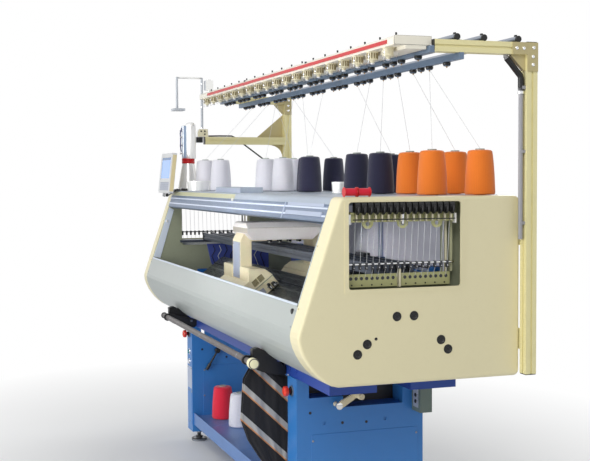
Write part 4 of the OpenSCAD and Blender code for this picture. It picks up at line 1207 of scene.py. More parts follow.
@dataclass
class FrontTrim:
    """Lines, joints and small fittings of the front cover, the tracks, the table and the rear cover.

    Attributes:
        end: Half the length of the tracks.
        joint: Place of the joint in the tracks.
        inner: Inner face of the end frames.
    """

    end: float = 1309.5
    joint: float = 814
    inner: float = 1296.4

    def tracks(self) -> None:
        """Draws the lines, the joint and the plates of the tracks under the table's edge."""
        form = Form("track_lines")
        for s0, s1, finish in ((42.2, 49.2, LIGHT_LINE), (72.2, 79.2, LIGHT_LINE), (31, 33.4, SLATE),
                               (94, 96.6, SLATE)):
            for x0, x1 in ((-self.end, self.joint - 4.5), (self.joint + 4.5, self.end)):
                form.prism(finish, X, slant_quad(s0, s1, 0.4, -1.9), x0, x1)
        form.prism(SHEET_GREY, X, slant_quad(28.4, 99.4, 0.8, -3.2), self.joint - 5, self.joint + 5)
        for x in (850, 1270, -1270, 0):
            form.turned(PLATE_STEEL, Y, (x, *on_slant(62)), [(4, 1), (4, -1.2), (2.2, -1.8), (0, -1)], 14)
        for s, wide in ((29.2, 12), (62, 17.4)):
            form.prism(SHEET_GREY, X, slant_quad(s, s + wide, 0.2, -4.2), 852, 1268)
        form.prism(BAR_CREAM, X, slant_quad(26, 40, -0.2, -6), 8, 26, 1)
        form.piece(MACHINE, "track_blue")

    def cover(self) -> None:
        """Adds the lip with its painted highlight, the lock and the screws of the front cover."""
        form = Form("front_cover_trim")
        form.turned(BLACK, Y, (1268, *on_slant(444, -0.2)), [(11, 5), (11, -2.4), (9.4, -4.2), (0, -4.2)],
                    24)
        for x in (-1296, 1296):
            for s in (440, 500):
                form.turned(PLATE_STEEL, Y, (x, *on_slant(s)),
                            [(3.4, 1), (3.4, -0.8), (1.8, -1.4), (0, -0.8)], 12)
        # The pale strip along the cover's upper lip is a painted highlight.
        lip = [on_slant(s, t) for s,
               t in ((416, 3.2), (412.5, 5), (410, 3.8), (412, 0), (418, -0.9), (419.5, 0.4))]
        form.prism(PALE_TRIM_AND_LIP_HIGHLIGHT, X, lip, -1295, 1295)
        form.piece(MACHINE, "cover_silver")

    def edges(self) -> None:
        """Lines the two side edges of the front opening."""
        form = Form("opening_edges")
        edge = [on_slant(s, t) for s, t in ((101, 2), (408, 2), (404, 44), (108, 34))]
        for end in (-1, 1):
            form.prism(PALE_TRIM_AND_LIP_HIGHLIGHT, X, edge, end * self.inner, end * (self.inner - 3), 0.6)
            form.turned(ENAMEL, X, (end * 1293.6, -300, 1220), [(7, 0.4), (7, -5), (5, -8), (0, -8.4)], 18,
                        facing=end)
        form.piece(MACHINE, "olive_paint")

    def housings(self) -> None:
        """Adds the drive housings and leads at the left end of the needle beds."""
        form = Form("bed_end_housings")
        rear = [(-58, 1080), (330, 1080), (330, 905), (58, 900), (0, 894), (-34, 971)]
        front = [(-118, 932), (-60, 932), (-12, 900), (-12, 886), (-118, 912)]
        form.prism(WALL_BLUE, X, rear, -1298, -1293, 2)
        form.prism(BRIGHT_BLUE, X, front, -1298, -1291, 2)
        for lane in range(9):
            y = -20 + 38 * lane
            lead = [(-1292, y, 1070), (-1291.5, y + 12, 1040), (-1291.5, y - 9, 1006), (-1291.5, y + 8, 966),
                    (-1292, y + 20, 930)]
            form.sweep(LOOSE_YARN if lane % 3 == 1 else BLACK, lead, 2.4, 8)
        form.piece(MACHINE, "motor_grey")

    def tray(self) -> None:
        """Lays the ribbed mat in the table's tray, and edges the table's front."""
        form = Form("tray_mat")
        form.prism(DARK_MOULD, Z, rounded((-408, -229), (36, -126), 6), 1423, 1424.6)
        for index in range(14):
            x = -400 + index * 30
            form.box(BLACK, (x, -226, 1424.4), (x + 22, -129, 1425.4), 0.3)
        form.prism(GREY_BLUE, Y, [(-411, 1401), (39, 1401), (39, 1421), (-411, 1421)], -234.4, -233)
        form.piece(MACHINE, "table_grey")
        form = Form("table_edge_band")
        form.prism(EDGE_OLIVE, X, slant_quad(6, 28, 0.2, -1.2), -1300, 34)
        form.piece(MACHINE, "table_grey")

    def rear(self) -> None:
        """Adds seams, screws, vents and latches to the rear cover."""
        form = Form("rear_cover_trim")
        for x in (-437, 437):
            form.box(DARK_MOULD, (x - 1.2, 479.4, 716), (x + 1.2, 480.5, 1362))
        for x in (-1280, -470, -404, 404, 470, 1280):
            for z in (740, 1040, 1340):
                form.screw(PLATE_STEEL, Y, (x, 480, z), 6)
        for x in (-870, 0, 870):
            for line in range(9):
                z = 770 + 15 * line
                form.box(DARK_MOULD, (x - 92, 479.4, z), (x + 92, 481.2, z + 4), 0.5)
            for latch in (x - 300, x + 300):
                form.box(BLACK, (latch - 34, 479.6, 1020), (latch + 34, 484, 1036), 1.6)
        form.piece(MACHINE, "rear_cream")

    def table(self) -> None:
        """Adds the table's seams and screws."""
        form = Form("table_seams")
        for x in (-430, 430):
            form.box(DARK_MOULD, (x - 0.8, -228, 1399.6), (x + 0.8, 462, 1400.5))
        for x in (-1290, -450, -410, 410, 450, 1290):
            for y in (-100, 180, 440):
                form.turned(PLATE_STEEL, Z, (x, y, TABLE_Z), [(5, -1), (5, 0.8), (2.6, 1.6), (0, 0.9)], 14)
        form.piece(MACHINE, "table_grey")

    def build(self) -> None:
        """Makes all of the trim."""
        for make in (self.tracks, self.cover, self.edges, self.housings, self.tray, self.rear, self.table):
            make()


@dataclass
class CarriageTrim:
    """Vents, seams, switches and brushes of the carriage.

    Attributes:
        left: Left face of the cam boxes.
        right: Their right face.
        column: Left and right faces of the front column.
        hood: Left and right faces of the hood.
    """

    left: float = -320
    right: float = 118
    column: Pair = (-170, -32)
    hood: Pair = (-228.5, 26.5)

    def ends(self, inset: float = 0) -> Sequence[tuple[float, int]]:
        """Gives X and the outward direction of both ends of a cam box.

        Args:
            inset: How far inside the faces.

        Returns:
            The right end, then the left one.
        """
        return ((self.right - inset, 1), (self.left + inset, -1))

    def louvres(self, form: Form, side: int) -> None:
        """Fills the square vents at both ends of one cam box.

        Args:
            form: The form to add to.
            side: -1 for the front bed, 1 for the rear one.
        """
        for s in (132, 166):
            for x, way in self.ends():
                for line in range(5):
                    t = 73 + line * 5
                    form.prism(VENT_TAN, X, bed_quad(s - 12.6, s + 12.6, t, t + 2.4, side),
                               x - way * 1.6, x + way * 0.4)
                ring(form, VENT_TAN, X, bed_quad(s - 14.6, s + 14.6, 69.4, 98.6, side),
                     bed_quad(s - 12.6, s + 12.6, 71.4, 96.6, side), x - way * 0.2, x + way * 0.8)

    def body(self) -> None:
        """Adds vents, seams, plates and screws to the cam boxes and the column."""
        form = Form("carriage_trim")
        for side in (-1, 1):
            self.louvres(form, side)
            for x in (self.right, self.left - 0.7):
                form.prism(OLIVE, X, bed_quad(77, 250, 60.4, 57, side), x, x + 0.7)
            for x, way in self.ends(4):
                form.prism(KEY_GREY, X, bed_quad(150, 214, 12, 40, side), x, x + way * 1.2, 0.4)
                for s in (130, 232):
                    form.screw(PLATE_STEEL, X, (x, *on_bed(s, 26, side)), 3.6, way)
            for x in (-300, -190, -10, 98):
                form.turned(PLATE_STEEL, Z, (x, *on_bed(216, 60, side)),
                            [(4.6, -2.5), (4.6, 2), (2.4, 2.6), (0, 1.6)], 14)
        x0, x1 = self.column
        form.box(GREY_BLUE, (x0 + 8, -216.2, 984), (x1 - 8, -214.6, 1160), 0.6)
        for z in (996, 1150):
            for x in (x0 + 20, x1 - 20):
                form.screw(PLATE_STEEL, Y, (x, -216.2, z), 3.4, -1)
        form.piece(CARRIAGE, "cream_paint")

    def top(self) -> None:
        """Adds painted-shade lines along the hood's crease, painted shade over its front end, screws and the
        plungers' housings.
        """
        form = Form("hood_trim")
        h0, h1 = self.hood
        for x, way in ((h1, 1), (h0, -1)):
            # Painted shade: a tan-grey line along the crease on each end of the hood.
            form.prism(HOOD_END_SHADE, X, [(-190, 1230.6), (190, 1230.6), (190, 1232), (-190, 1232)], x,
                       x + way * 0.4)
            for y in (-170, 150):
                form.screw(HOOD_WHITE, X, (x, y, 1212), 3.4, way)
        # Painted shade: the hood's front end face is tan-grey.
        form.box(HOOD_END_SHADE, (h0 + 3, -197.2, 1205), (h1 - 3, -195.8, 1230), 0.5)
        form.box(HOOD_WHITE, (h0 + 40, -150, 1255.4), (h1 - 40, 110, 1256.8), 0.4)
        for y in RAIL_YS:
            for x in (-205, -4):
                form.block(BLACK, (x, y), (14, 9), (1160, 1172.4), 1.2)
                form.turned(CHROME, Z, (x, y, 1157.6), [(2.6, 0), (3.2, 0.6), (3.2, 3.4), (2.6, 4)], 14)
        form.piece(CARRIAGE, "hood_white")

    def switches(self) -> None:
        """Puts switches and brushes at both ends of the cam boxes."""
        form = Form("cam_switches")
        for side in (-1, 1):
            for s, wide, high in ((100, 16, 22), (122, 12, 30), (88, 9, 12)):
                for x, way in self.ends(4):
                    form.prism(BLACK, X, bed_quad(s - wide / 2, s + wide / 2, 12, 12 + high, side),
                               x, x + way * 22, 1.6)
                    form.prism(ENAMEL, X, bed_quad(s - wide / 4, s + wide / 4, 16, 12 + 0.6 * high, side),
                               x + way * 21.6, x + way * 22.6)
        form.piece(CARRIAGE, "black_plastic")
        form = Form("carriage_brushes")
        for side in (-1, 1):
            for x in (self.left + 16, self.right - 16):
                form.prism(BLACK, X, bed_quad(86, 118, 4.6, 9, side), x - 10, x + 10)
        form.piece(CARRIAGE, "black_plastic")

    def build(self) -> None:
        """Makes the carriage's trim."""
        self.body()
        self.top()
        self.switches()


@dataclass
class FeederTrim:
    """Arms, screws and tips of the yarn feeders.

    Attributes:
        spots: X, Y and the tip's Y of each feeder.
    """

    spots: Sequence[Point] = (
        (700, -75, -6.3), (-640, -25, -2.1), (620, 25, 2.1), (812, 75, 6.3))

    def feeder(self, number: int, x: float, y: float, tip: float) -> None:
        """Dresses one feeder.

        Args:
            number: Its number, from 1.
            x: Its place along the machine.
            y: Its rail's place across it.
            tip: Its tip's place across it.
        """
        side = -1 if y < 0 else 1
        dark = number % 2 == 0
        body, trim = (DARK_MOULD, WHITE_MOULD) if dark else (WHITE_MOULD, BLACK)
        form = Form(f"feeder_trim_{number}")
        face = y + side * 15.2
        form.box(trim, (x - 34, face, 1124), (x + 34, face + side * 3, 1144), 1)
        form.box(body, (x - 10, face, 1112), (x + 10, face + side * 5, 1150), 1.4)
        for step in (-26, 26):
            form.screw(CHROME, Y, (x + step, face + side * 3, 1134), 3.4, side)
        for step in (-31, 31):
            form.block(trim, (x + step, y), (9, 12), (1155.8, 1157), 0.4)
        if number in (2, 3):
            form.turned(WHITE_MOULD, Z, (x, tip, 1042), [(1.6, 6), (1.95, 4), (1.95, -2), (1.7, -8)], 12)
        form.turned(CHROME, Z, (x, tip, 1018), [(1.5, 6), (1.85, 2), (1.85, -1.2), (1.5, -1.8)], 10)
        form.piece(f"feeder_{number}", "feeder_dark" if dark else "feeder_white")

    def build(self) -> None:
        """Dresses each feeder, and caps the rails."""
        for number, spot in enumerate(self.spots, 1):
            self.feeder(number, *spot)
        form = Form("rail_ends")
        for x in (-1285, 1285):
            for y in RAIL_YS:
                form.block(BLACK, (x, y), (9, 9), (1107, 1149), 1.2)
                form.screw(CHROME, Z, (x, y, 1149), 4)
        form.piece(MACHINE, "dark_rail")


@dataclass
class StandTrim:
    """Caps, bolts, eyelet tips, ribs and pegs of the yarn stand.

    Attributes:
        post_x: Place of a post along the machine.
        half: Half the width of a post or beam.
        top: Height of the beams' top.
        first: Place of the first yarn unit.
        pitch: Distance from one yarn unit to the next.
        units: Number of yarn units.
        lamp_x: Place of the lamp frame along the machine.
    """

    post_x: float = 1430
    half: float = 22.5
    top: float = 1973
    first: float = -1332
    pitch: float = 148
    units: int = 19
    lamp_x: float = -1434.5

    def caps(self) -> None:
        """Makes the black end caps of the posts, beams and tubes."""
        form = Form("stand_caps")
        for end in (-1, 1):
            x = end * self.post_x
            low, high = x - self.half, x + self.half
            section = rounded((low, 476.5), (high, 521.5), 4)
            form.prism(BLACK, Z, section, 717, 720.2, 0.6)
            form.prism(BLACK, Z, section, self.top - 0.2, self.top + 3, 0.8)
            form.prism(BLACK, Y, rounded((low, self.top - 45), (high, self.top), 4), 91.4, 93.2)
            for y in (185, 296, 440):
                form.turned(BLACK, X, (end * 1452.5, y, 1984.5),
                            [(12, -7), (12.3, -6), (12.3, 0.6), (10.6, 2.4), (0, 2.4)], 24, facing=end)
                form.block(BLACK, (x, y), (9, 15), (self.top, self.top + 6), 1)
                form.block(BLACK, (x, y), (6, 4), (self.top + 20, self.top + 29), 1)
        form.prism(BLACK, Y, rounded((-1452.5, 1679), (-1407.5, 1724), 4), -33.8, -31.8)
        form.piece(MACHINE, "black_plastic")

    def bolts(self) -> None:
        """Bolts the corner plates, brackets and gussets."""
        form = Form("stand_bolts")
        for end in (-1, 1):
            for y, z in ((502, 1953), (460, 1950), (430, 1950), (499, 1920), (499, 1890)):
                form.screw(CHROME, X, (end * 1456.5, y, z), 6.5, end)
                form.screw(CHROME, X, (end * 1403.5, y, z), 6.5, -end)
            for z in (826, 874, 1226, 1274):
                form.screw(CHROME, Y, (end * 1370, 484, z), 6)
            for y, z, axis in ((440, 1922, Z), (470.5, 1890, Y)):
                form.screw(CHROME, axis, (end * self.post_x, y, z), 5.5, -1)
        for y, z in ((499, 1840), (499, 1790), (499, 1650), (499, 1620), (420, 1702), (350, 1702)):
            form.screw(CHROME, X, (-1456.5, y, z), 6.5, -1)
        for end in (-1, 1):
            for y, z in ((84, 1949), (203, self.top)):
                for step in (-12, 12):
                    form.screw(CHROME, Z, (end * self.post_x + step, y, z), 5)
        form.piece(MACHINE, "bright_chrome")

    def eyelets(self) -> None:
        """Puts a black dome and its small tip under each rail place."""
        form = Form("eyelets")
        for index in range(2 * self.units - 1):
            x = self.first + index * self.pitch / 2
            if index % 2 == 0 or index % 4 == 1:
                for y, z in ((84, 1924), (203, 1903)):
                    form.turned(BLACK, Z, (x, y, z),
                                [(14.6, 0), (15.4, -3), (15, -9), (12, -13.6), (7, -15.6), (0, -16)], 20)
                    form.turned(TIP_TAN, Z, (x, y, z - 15.6), [(2.6, 0), (2.8, -3), (1.6, -5.4), (0, -5.6)],
                                10)
        form.piece(MACHINE, "black_plastic")

    def unit(self, form: Form, wires: Form, x: float, ribs: int) -> None:
        """Adds ribs, a disc, a peg and wires to one yarn unit.

        Args:
            form: The form of the solid parts.
            wires: The form of the wires.
            x: The unit's place along the machine.
            ribs: Ribs round it.
        """
        for rib in range(ribs):
            angle = math.pi * rib / 6
            form.turned(UNIT_BROWN, Z, (x + 20.2 * math.cos(angle), -38 + 20.2 * math.sin(angle), 1924.4),
                        [(0, 0), (2.6, 0.2), (2.6, 20.2), (0, 20.4)], 8)
        form.turned(WHITE_MOULD, Z, (x, -38, 1908), [(5.2, 1), (8.4, -1), (8.4, -4), (2.6, -6), (0, -6)], 18)
        form.turned(BLACK, Z, (x + 32, -20, 1985),
                    [(4, 0), (4.6, 1), (3.4, 3), (3.4, 13), (4.8, 15), (3, 18), (0, 18)], 12)
        form.turned(CHROME, Y, (x + 20, -62, 1930),
                    [(1.6, 4), (6, 1), (7, -0.4), (6, -1.6), (1.8, -3.6), (0, -3.6)],
                    16)
        wires.sweep(CHROME,
                    [(x + 20, -58, 1950), (x + 20, -62, 1936), (x + 20, -62, 1916), (x + 14, -62, 1904),
                             (x + 4, -58, 1899), (x - 2, -50, 1900)], 0.9, 6)
        wires.sweep(CHROME, [(x - 34, 20, 1937), (x - 34, 18, 1926), (x - 30, 8, 1919), (x - 22, 2, 1921),
                             (x - 18, 8, 1927)], 1, 6)

    def unit_details(self) -> None:
        """Dresses the yarn units and their bar."""
        form = Form("unit_ribs")
        wires = Form("unit_wires")
        for index in range(self.units):
            self.unit(form, wires, self.first + index * self.pitch, 12 if index < self.units - 1 else 0)
        form.piece(MACHINE, "unit_cream")
        wires.piece(MACHINE, "bright_chrome")
        form = Form("bar_seams")
        for x in (-476, 476):
            form.box(DARK_MOULD, (x - 0.7, -61, 1976), (x + 0.7, 92, 1985.4))
        for index in range(self.units + 1):
            for y in (-10, 60):
                form.screw(PLATE_STEEL, Z, (self.first + (index - 0.5) * self.pitch, y, 1985), 4.4)
        form.box(BAR_CREAM, (1428, -58, 1951), (1431, 91, 1984), 0.8)
        form.piece(MACHINE, "bar_cream")

    def lamp_parts(self) -> None:
        """Adds the rods, lens, collars and nuts of the lamp frame."""
        form = Form("lamp_parts")
        x = self.lamp_x
        form.box(LAMP_WHITE, (x - 20, -26.4, 2010), (x + 20, -24.6, 2064), 0.5)
        form.turned(ENAMEL, Z, (x, -2, 2067), [(15, 0), (15, 3), (11, 6.5), (0, 8)], 24)
        for z in (1900, 2040):
            form.turned(CHROME, Z, (x, -45, z), [(6.2, 0), (8.6, 1), (8.6, 8), (6.2, 9)], 18)
        form.turned(CHROME, Z, (x, -45, 1772), [(9, -0.6), (11, 1), (11, 7), (6.4, 10)], 18)
        form.sweep(LAMP_WHITE, [(x, -45, 1783), (x, -45, 2079.6), (x, -199, 2079.6), (x, -199, 1886)], 7.8,
                   16)
        form.box(LAMP_WHITE, (x - 15, -234, 1878), (x + 66, -164, 1892.4), 2)
        cheek = [(-79, 1725), (-12, 1725), (-15, 1771), (-67, 1771), (-78, 1754)]
        for start in (x - 20, x + 18.8):
            form.prism(UNIT_CREAM, X, cheek, start, start + 1.2, 0.4)
        for y, z in ((-56, 1758), (-34, 1740), (-34, 1758)):
            form.turned(BLACK, X, (x + 20, y, z), [(5, 0), (5, 2), (0, 2.4)], 12)
        form.box(BLACK, (x - 15, -88, 1689), (x + 15, -44, 1724.2), 2)
        form.turned(BLACK, Y, (x, -66, 1706), [(16, -8), (17, -6), (17, 6), (16, 8)], 20)
        form.piece(MACHINE, "white_enamel")

    def leads(self) -> None:
        """Clips the cable to the left arm, and bends the hose at the right post."""
        form = Form("stand_cable")
        form.sweep(BLACK, [(-1425, -34, 1729), (-1425, 60, 1731), (-1425, 138, 1731), (-1423, 168, 1717),
                           (-1418, 206, 1686), (-1412, 338, 1589), (-1395, 400, 1530), (-1340, 430, 1450),
                           (-1300, 440, 1403)], 4.5, 12)
        form.piece(MACHINE, "black_plastic")
        form = Form("conduit_hose")
        x = self.post_x
        form.sweep(BLACK, [(x, 464, 1806), (x, 464, 1838), (x, 461, 1850), (x, 441, 1872), (x, 420, 1896),
                           (x, 402, 1915)], 11.6, 14)
        for step in range(9):
            form.turned(BLACK, Z, (x, 464, 1796 + step * 5.6),
                        [(9.4, 0), (12.4, 0.8), (12.4, 2.6), (9.4, 3.4)], 18)
        form.turned(CHROME, Z, (x, 464, 1782), [(9.2, 0), (12.6, 0.8), (12.6, 10), (9.2, 11)], 18)
        form.piece(MACHINE, "conduit_grey")

    def build(self) -> None:
        """Makes all of the stand's trim."""
        for make in (self.caps, self.bolts, self.eyelets, self.unit_details, self.lamp_parts, self.leads):
            make()


@dataclass
class ControlPanel:
    """Bezel, screen, keys and knobs of the tilting panel.

    Attributes:
        hinge: Place of the hinge line.
        lean: How far the panel leans back, in degrees.
        width: Width of the housing.
        depth: Depth of the housing.
    """

    hinge: Point = (-1245, -318, 1376)
    lean: float = 6.5
    width: float = 290
    depth: float = 26

    def place(self, point: Point) -> Point:
        """Turns a point measured from the hinge into the machine's millimetres.

        Args:
            point: The point on the upright panel.

        Returns:
            Its place on the leaning one.
        """
        lean = math.radians(-self.lean)
        x, y, z = point
        return (self.hinge[0] + x, self.hinge[1] + y * math.cos(lean) - z * math.sin(lean),
                self.hinge[2] + y * math.sin(lean) + z * math.cos(lean))

    def inset(self, side: float, low: float, high: float, radius: float) -> Outline:
        """Outlines a rounded rectangle on the panel's face.

        Args:
            side: Its distance from both sides of the housing.
            low: Its low edge, from the hinge.
            high: Its high edge.
            radius: Its corners' radius.

        Returns:
            The outline.
        """
        half = self.width / 2 - side
        return rounded((-half, low), (half, high), radius)

    def face(self) -> None:
        """Makes the bezel, screen, keys and side strips."""
        front, back, half = -self.depth / 2, self.depth / 2, self.width / 2
        form = Form("panel_front")
        form.turn = self.place
        ring(form, PANEL, Y, self.inset(2, 14, 242, 11), self.inset(23, 21, 225, 6), front - 1.6,
             front + 0.2)
        form.prism(SCREEN, Y, self.inset(24.6, 93, 221.6, 3), front + 1.2, front + 2.9)
        ring(form, PANEL, Y, self.inset(23, 91, 223, 5), self.inset(28, 96, 218, 3), front - 1, front + 1.3)
        form.box(SCREEN_DARK, (28 - half, front + 0.8, 204), (half - 28, front + 1.3, 218))
        form.prism(KEY_GREY, Y, self.inset(31, 27, 75, 3), front + 0.6, front + 1.9)
        for row in range(4):
            for column in range(int((self.width - 62) // 15)):
                x, z = 34 - half + column * 15, 30 + row * 11
                form.prism(KEY_PALE, Y, rounded((x, z), (x + 12, z + 8), 1.6, 2), front - 0.4, front + 0.8)
        for step in range(11):
            x = 16 - half + step * 24
            form.box(PANEL_SIDE, (x, back - 0.1, 60), (x + 8, back + 1, 200), 0.5)
        for end in (-1, 1):
            form.box(PANEL_SIDE, (end * (half - 0.4), front + 1.5, 22),
                     (end * (half + 0.8), back - 1.5, 234), 0.4)
        form.piece("panel", "panel_plastic")

    def stand(self) -> None:
        """Makes the hinge's knobs and screws and the small things behind the panel."""
        form = Form("panel_hinge_screws")
        x, y, z = self.hinge
        for end in (-1, 1):
            form.turned(BLACK, X, (x + end * 42, y, z), [(6.4, 0), (9, 1), (9, 6), (7, 8), (0, 8.2)], 16,
                        facing=end)
            form.screw(CHROME, Z, (x + end * 14, -246, 1410), 4.6)
        for step in range(4):
            form.turned(BLACK, Z, (x + 42 + step * 17, -226 + step * 4, 1400.2),
                        [(0, 0), (7.6, 0.4), (7.6, 8), (6, 13), (0, 14)], 14)
        form.sweep(BLACK,
                   [(x + 30, -236, 1404), (x + 60, -226, 1406), (x + 98, -212, 1404), (x + 116, -190, 1404)],
                   3.4, 8)
        form.turned(ENAMEL, Z, (x + 24, -228, 1410), [(0, 0), (8, 0.4), (8, 7), (5, 10), (0, 10.6)], 18)
        form.piece(MACHINE, "black_steel")

    def build(self) -> None:
        """Dresses the panel and its hinge."""
        self.face()
        self.stand()


@dataclass
class Controls:
    """Stop buttons, start keys, start bar, crank and lever fittings.

    Attributes:
        leg: Middle of a leg along the machine.
        front: Front face of the legs.
        stop_z: Height of the stop buttons.
        keys: Height, body and finish of each start key.
        bar: Y and Z of the start bar's axis.
        lever: The lever's pivot.
    """

    leg: float = 885
    front: float = -268
    stop_z: float = 605
    keys: Sequence[tuple[float, str, Finish]] = ((504, "key_upper", TEAL), (448, "key_lower", WHITE_MOULD))
    bar: Pair = (-422, 720)
    lever: Point = (-814, -125, 511)

    def stops(self) -> None:
        """Makes the domes of the two stop buttons."""
        for end, body in ((-1, "stop_left"), (1, "stop_right")):
            x = end * self.leg
            form = Form(f"{body}_dome")
            dome = [(20.2, 13), (20.8, 10), (20.8, 2), (18, -2), (12, -4.6), (5, -5.8), (0, -6)]
            form.turned(STOP_RED, Y, (x, self.front - 34, self.stop_z), dome, 32)
            form.turned(BLACK, Y, (x, self.front - 20, self.stop_z),
                        [(9.6, 0), (10.4, 1), (10.4, 9), (9.6, 10)], 24)
            form.piece(body, "estop_red")

    def collars(self) -> None:
        """Makes the buttons' collars, the blank plate on the left leg and the caps of the start keys."""
        form = Form("button_collars")
        for end in (-1, 1):
            x = end * self.leg
            form.turned(PLATE_STEEL, Y, (x, self.front - 4, self.stop_z),
                        [(22, 3.9), (22, -0.6), (20.4, -1.4), (14, -1.4), (11, 0)], 36)
            form.turned(BLACK, Y, (x, self.front - 5.2, self.stop_z),
                        [(18, 0.4), (18, -3), (16, -4.4), (11, -4.4), (11, 1)], 30)
        for z, _, _ in self.keys:
            form.turned(CHROME, Y, (-self.leg, self.front, z),
                        [(17, 0), (17, -2.4), (15.4, -4), (12.6, -4), (12.4, 0)], 30)
        form.box(SHEET_GREY, (-self.leg - 46, self.front - 1.2, 276),
                 (-self.leg + 46, self.front + 0.2, 421), 0.6)
        for z in (284, 413):
            for step in (-38, 38):
                form.screw(PLATE_STEEL, Y, (step - self.leg, self.front - 1.2, z), 3.6, -1)
        form.piece(MACHINE, "bright_chrome")
        for z, body, finish in self.keys:
            form = Form(f"{body}_cap")
            form.turned(finish, Y, (-self.leg, self.front - 8, z),
                        [(11.6, 0.4), (11.6, -1.4), (10, -2.4), (0, -2)],
                        26)
            form.piece(body, "bright_chrome")

    def start_bar(self) -> None:
        """Makes the start bar's sleeve, end caps and rings."""
        form = Form("start_bar_trim")
        form.turned(BAR_GREY, X, (-743, *self.bar), [(13.2, 2), (13.6, 3), (13.6, 1483), (13.2, 1484)], 28)
        form.turned(CAP_IVORY, X, (830, *self.bar),
                    [(13.4, -1), (22.1, 0.6), (22.6, 4), (22.6, 29), (20, 33.4), (14, 35.4), (0, 36)], 32)
        form.turned(BLACK, X, (-838, *self.bar),
                    [(0, -2), (12, -1.8), (16.4, 0), (16.8, 3), (16.8, 7), (13.4, 9.5)], 32)
        for x in (-640, 0, 640):
            form.turned(PLATE_STEEL, X, (x, *self.bar), [(13.7, 0), (14.2, 0.8), (14.2, 5), (13.7, 5.8)], 28)
        form.piece("start_rod", "bar_steel")

    def arms(self) -> None:
        """Makes the black covers and the bolts of the start bar's arms."""
        form = Form("start_arm_covers")
        side = [(-404, 742), (-412, 768), (-385, 776), (-343, 755), (-300, 711), (-262, 690), (-262, 657),
                (-278, 654), (-326, 663), (-369, 674), (-388, 682), (-402, 698)]
        for end in (-1, 1):
            form.prism(BLACK, X, side, end * 762, end * 800, 4)
        form.piece(MACHINE, "black_steel")
        form = Form("arm_bolts")
        for end in (-1, 1):
            for way in (-1, 1):
                x = end * 750 + way * 6
                form.screw(PLATE_STEEL, X, (x, -290, 694), 6, way)
                form.turned(BLACK_STEEL, X, (x, *self.bar),
                            [(13.9, 0), (18.6, 0), (19.4, 0.8), (19.4, 2.4), (14, 2.8)],
                            28, facing=way)
            for z in (676, 692):
                form.screw(PLATE_STEEL, Y, (end * 775, -261.3, z), 5, -1)
        form.piece(MACHINE, "black_steel")

    def along_lever(self, down: float) -> Point:
        """Gives a point on the lever's arm.

        Args:
            down: Its distance from the pivot.

        Returns:
            The point in millimetres.
        """
        lean = math.atan2(64, 103)
        x, y, z = self.lever
        return (x, y - down * math.sin(lean), z - down * math.cos(lean))

    def grips(self) -> None:
        """Makes the crank's grip and the lever's sleeve, rings and hub."""
        form = Form("crank_grip")
        grip = [(5, 0), (11.8, 1), (13, 6), (12.2, 18), (13.2, 34), (12.8, 46), (9, 52.5), (0, 54.2)]
        form.turned(KNOB, X, (990, -26, 592), grip, 30)
        form.turned(CHROME, X, (978, -100, 550), [(14.6, 0), (15.2, 1), (15.2, 11), (10, 13), (0, 13)], 28)
        form.piece("crank", "knob_beige")
        form = Form("lever_grip")
        for low, high, radius, sides in ((2, 9, 5.9, 20), (84, 91, 7.3, 20), (94, 101, 7.9, 20),
                                         (104, 111, 8.6, 20),
                                         (112, 119, 9.2, 20), (8, 85, 5.6, 16), (84, 123, 9.2, 18)):
            form.sweep(BLACK, [self.along_lever(low), self.along_lever(high)], radius, sides)
        x, y, z = self.lever
        form.turned(BLACK, X, (x + 6, y, z),
                    [(14.4, -21), (14.8, 0), (12, 3.4), (6, 3.4), (5, 2.2), (0, 2.2)], 26)
        form.piece("lever", "bar_steel")

    def build(self) -> None:
        """Dresses the hand controls."""
        for make in (self.stops, self.collars, self.start_bar, self.arms, self.grips):
            make()


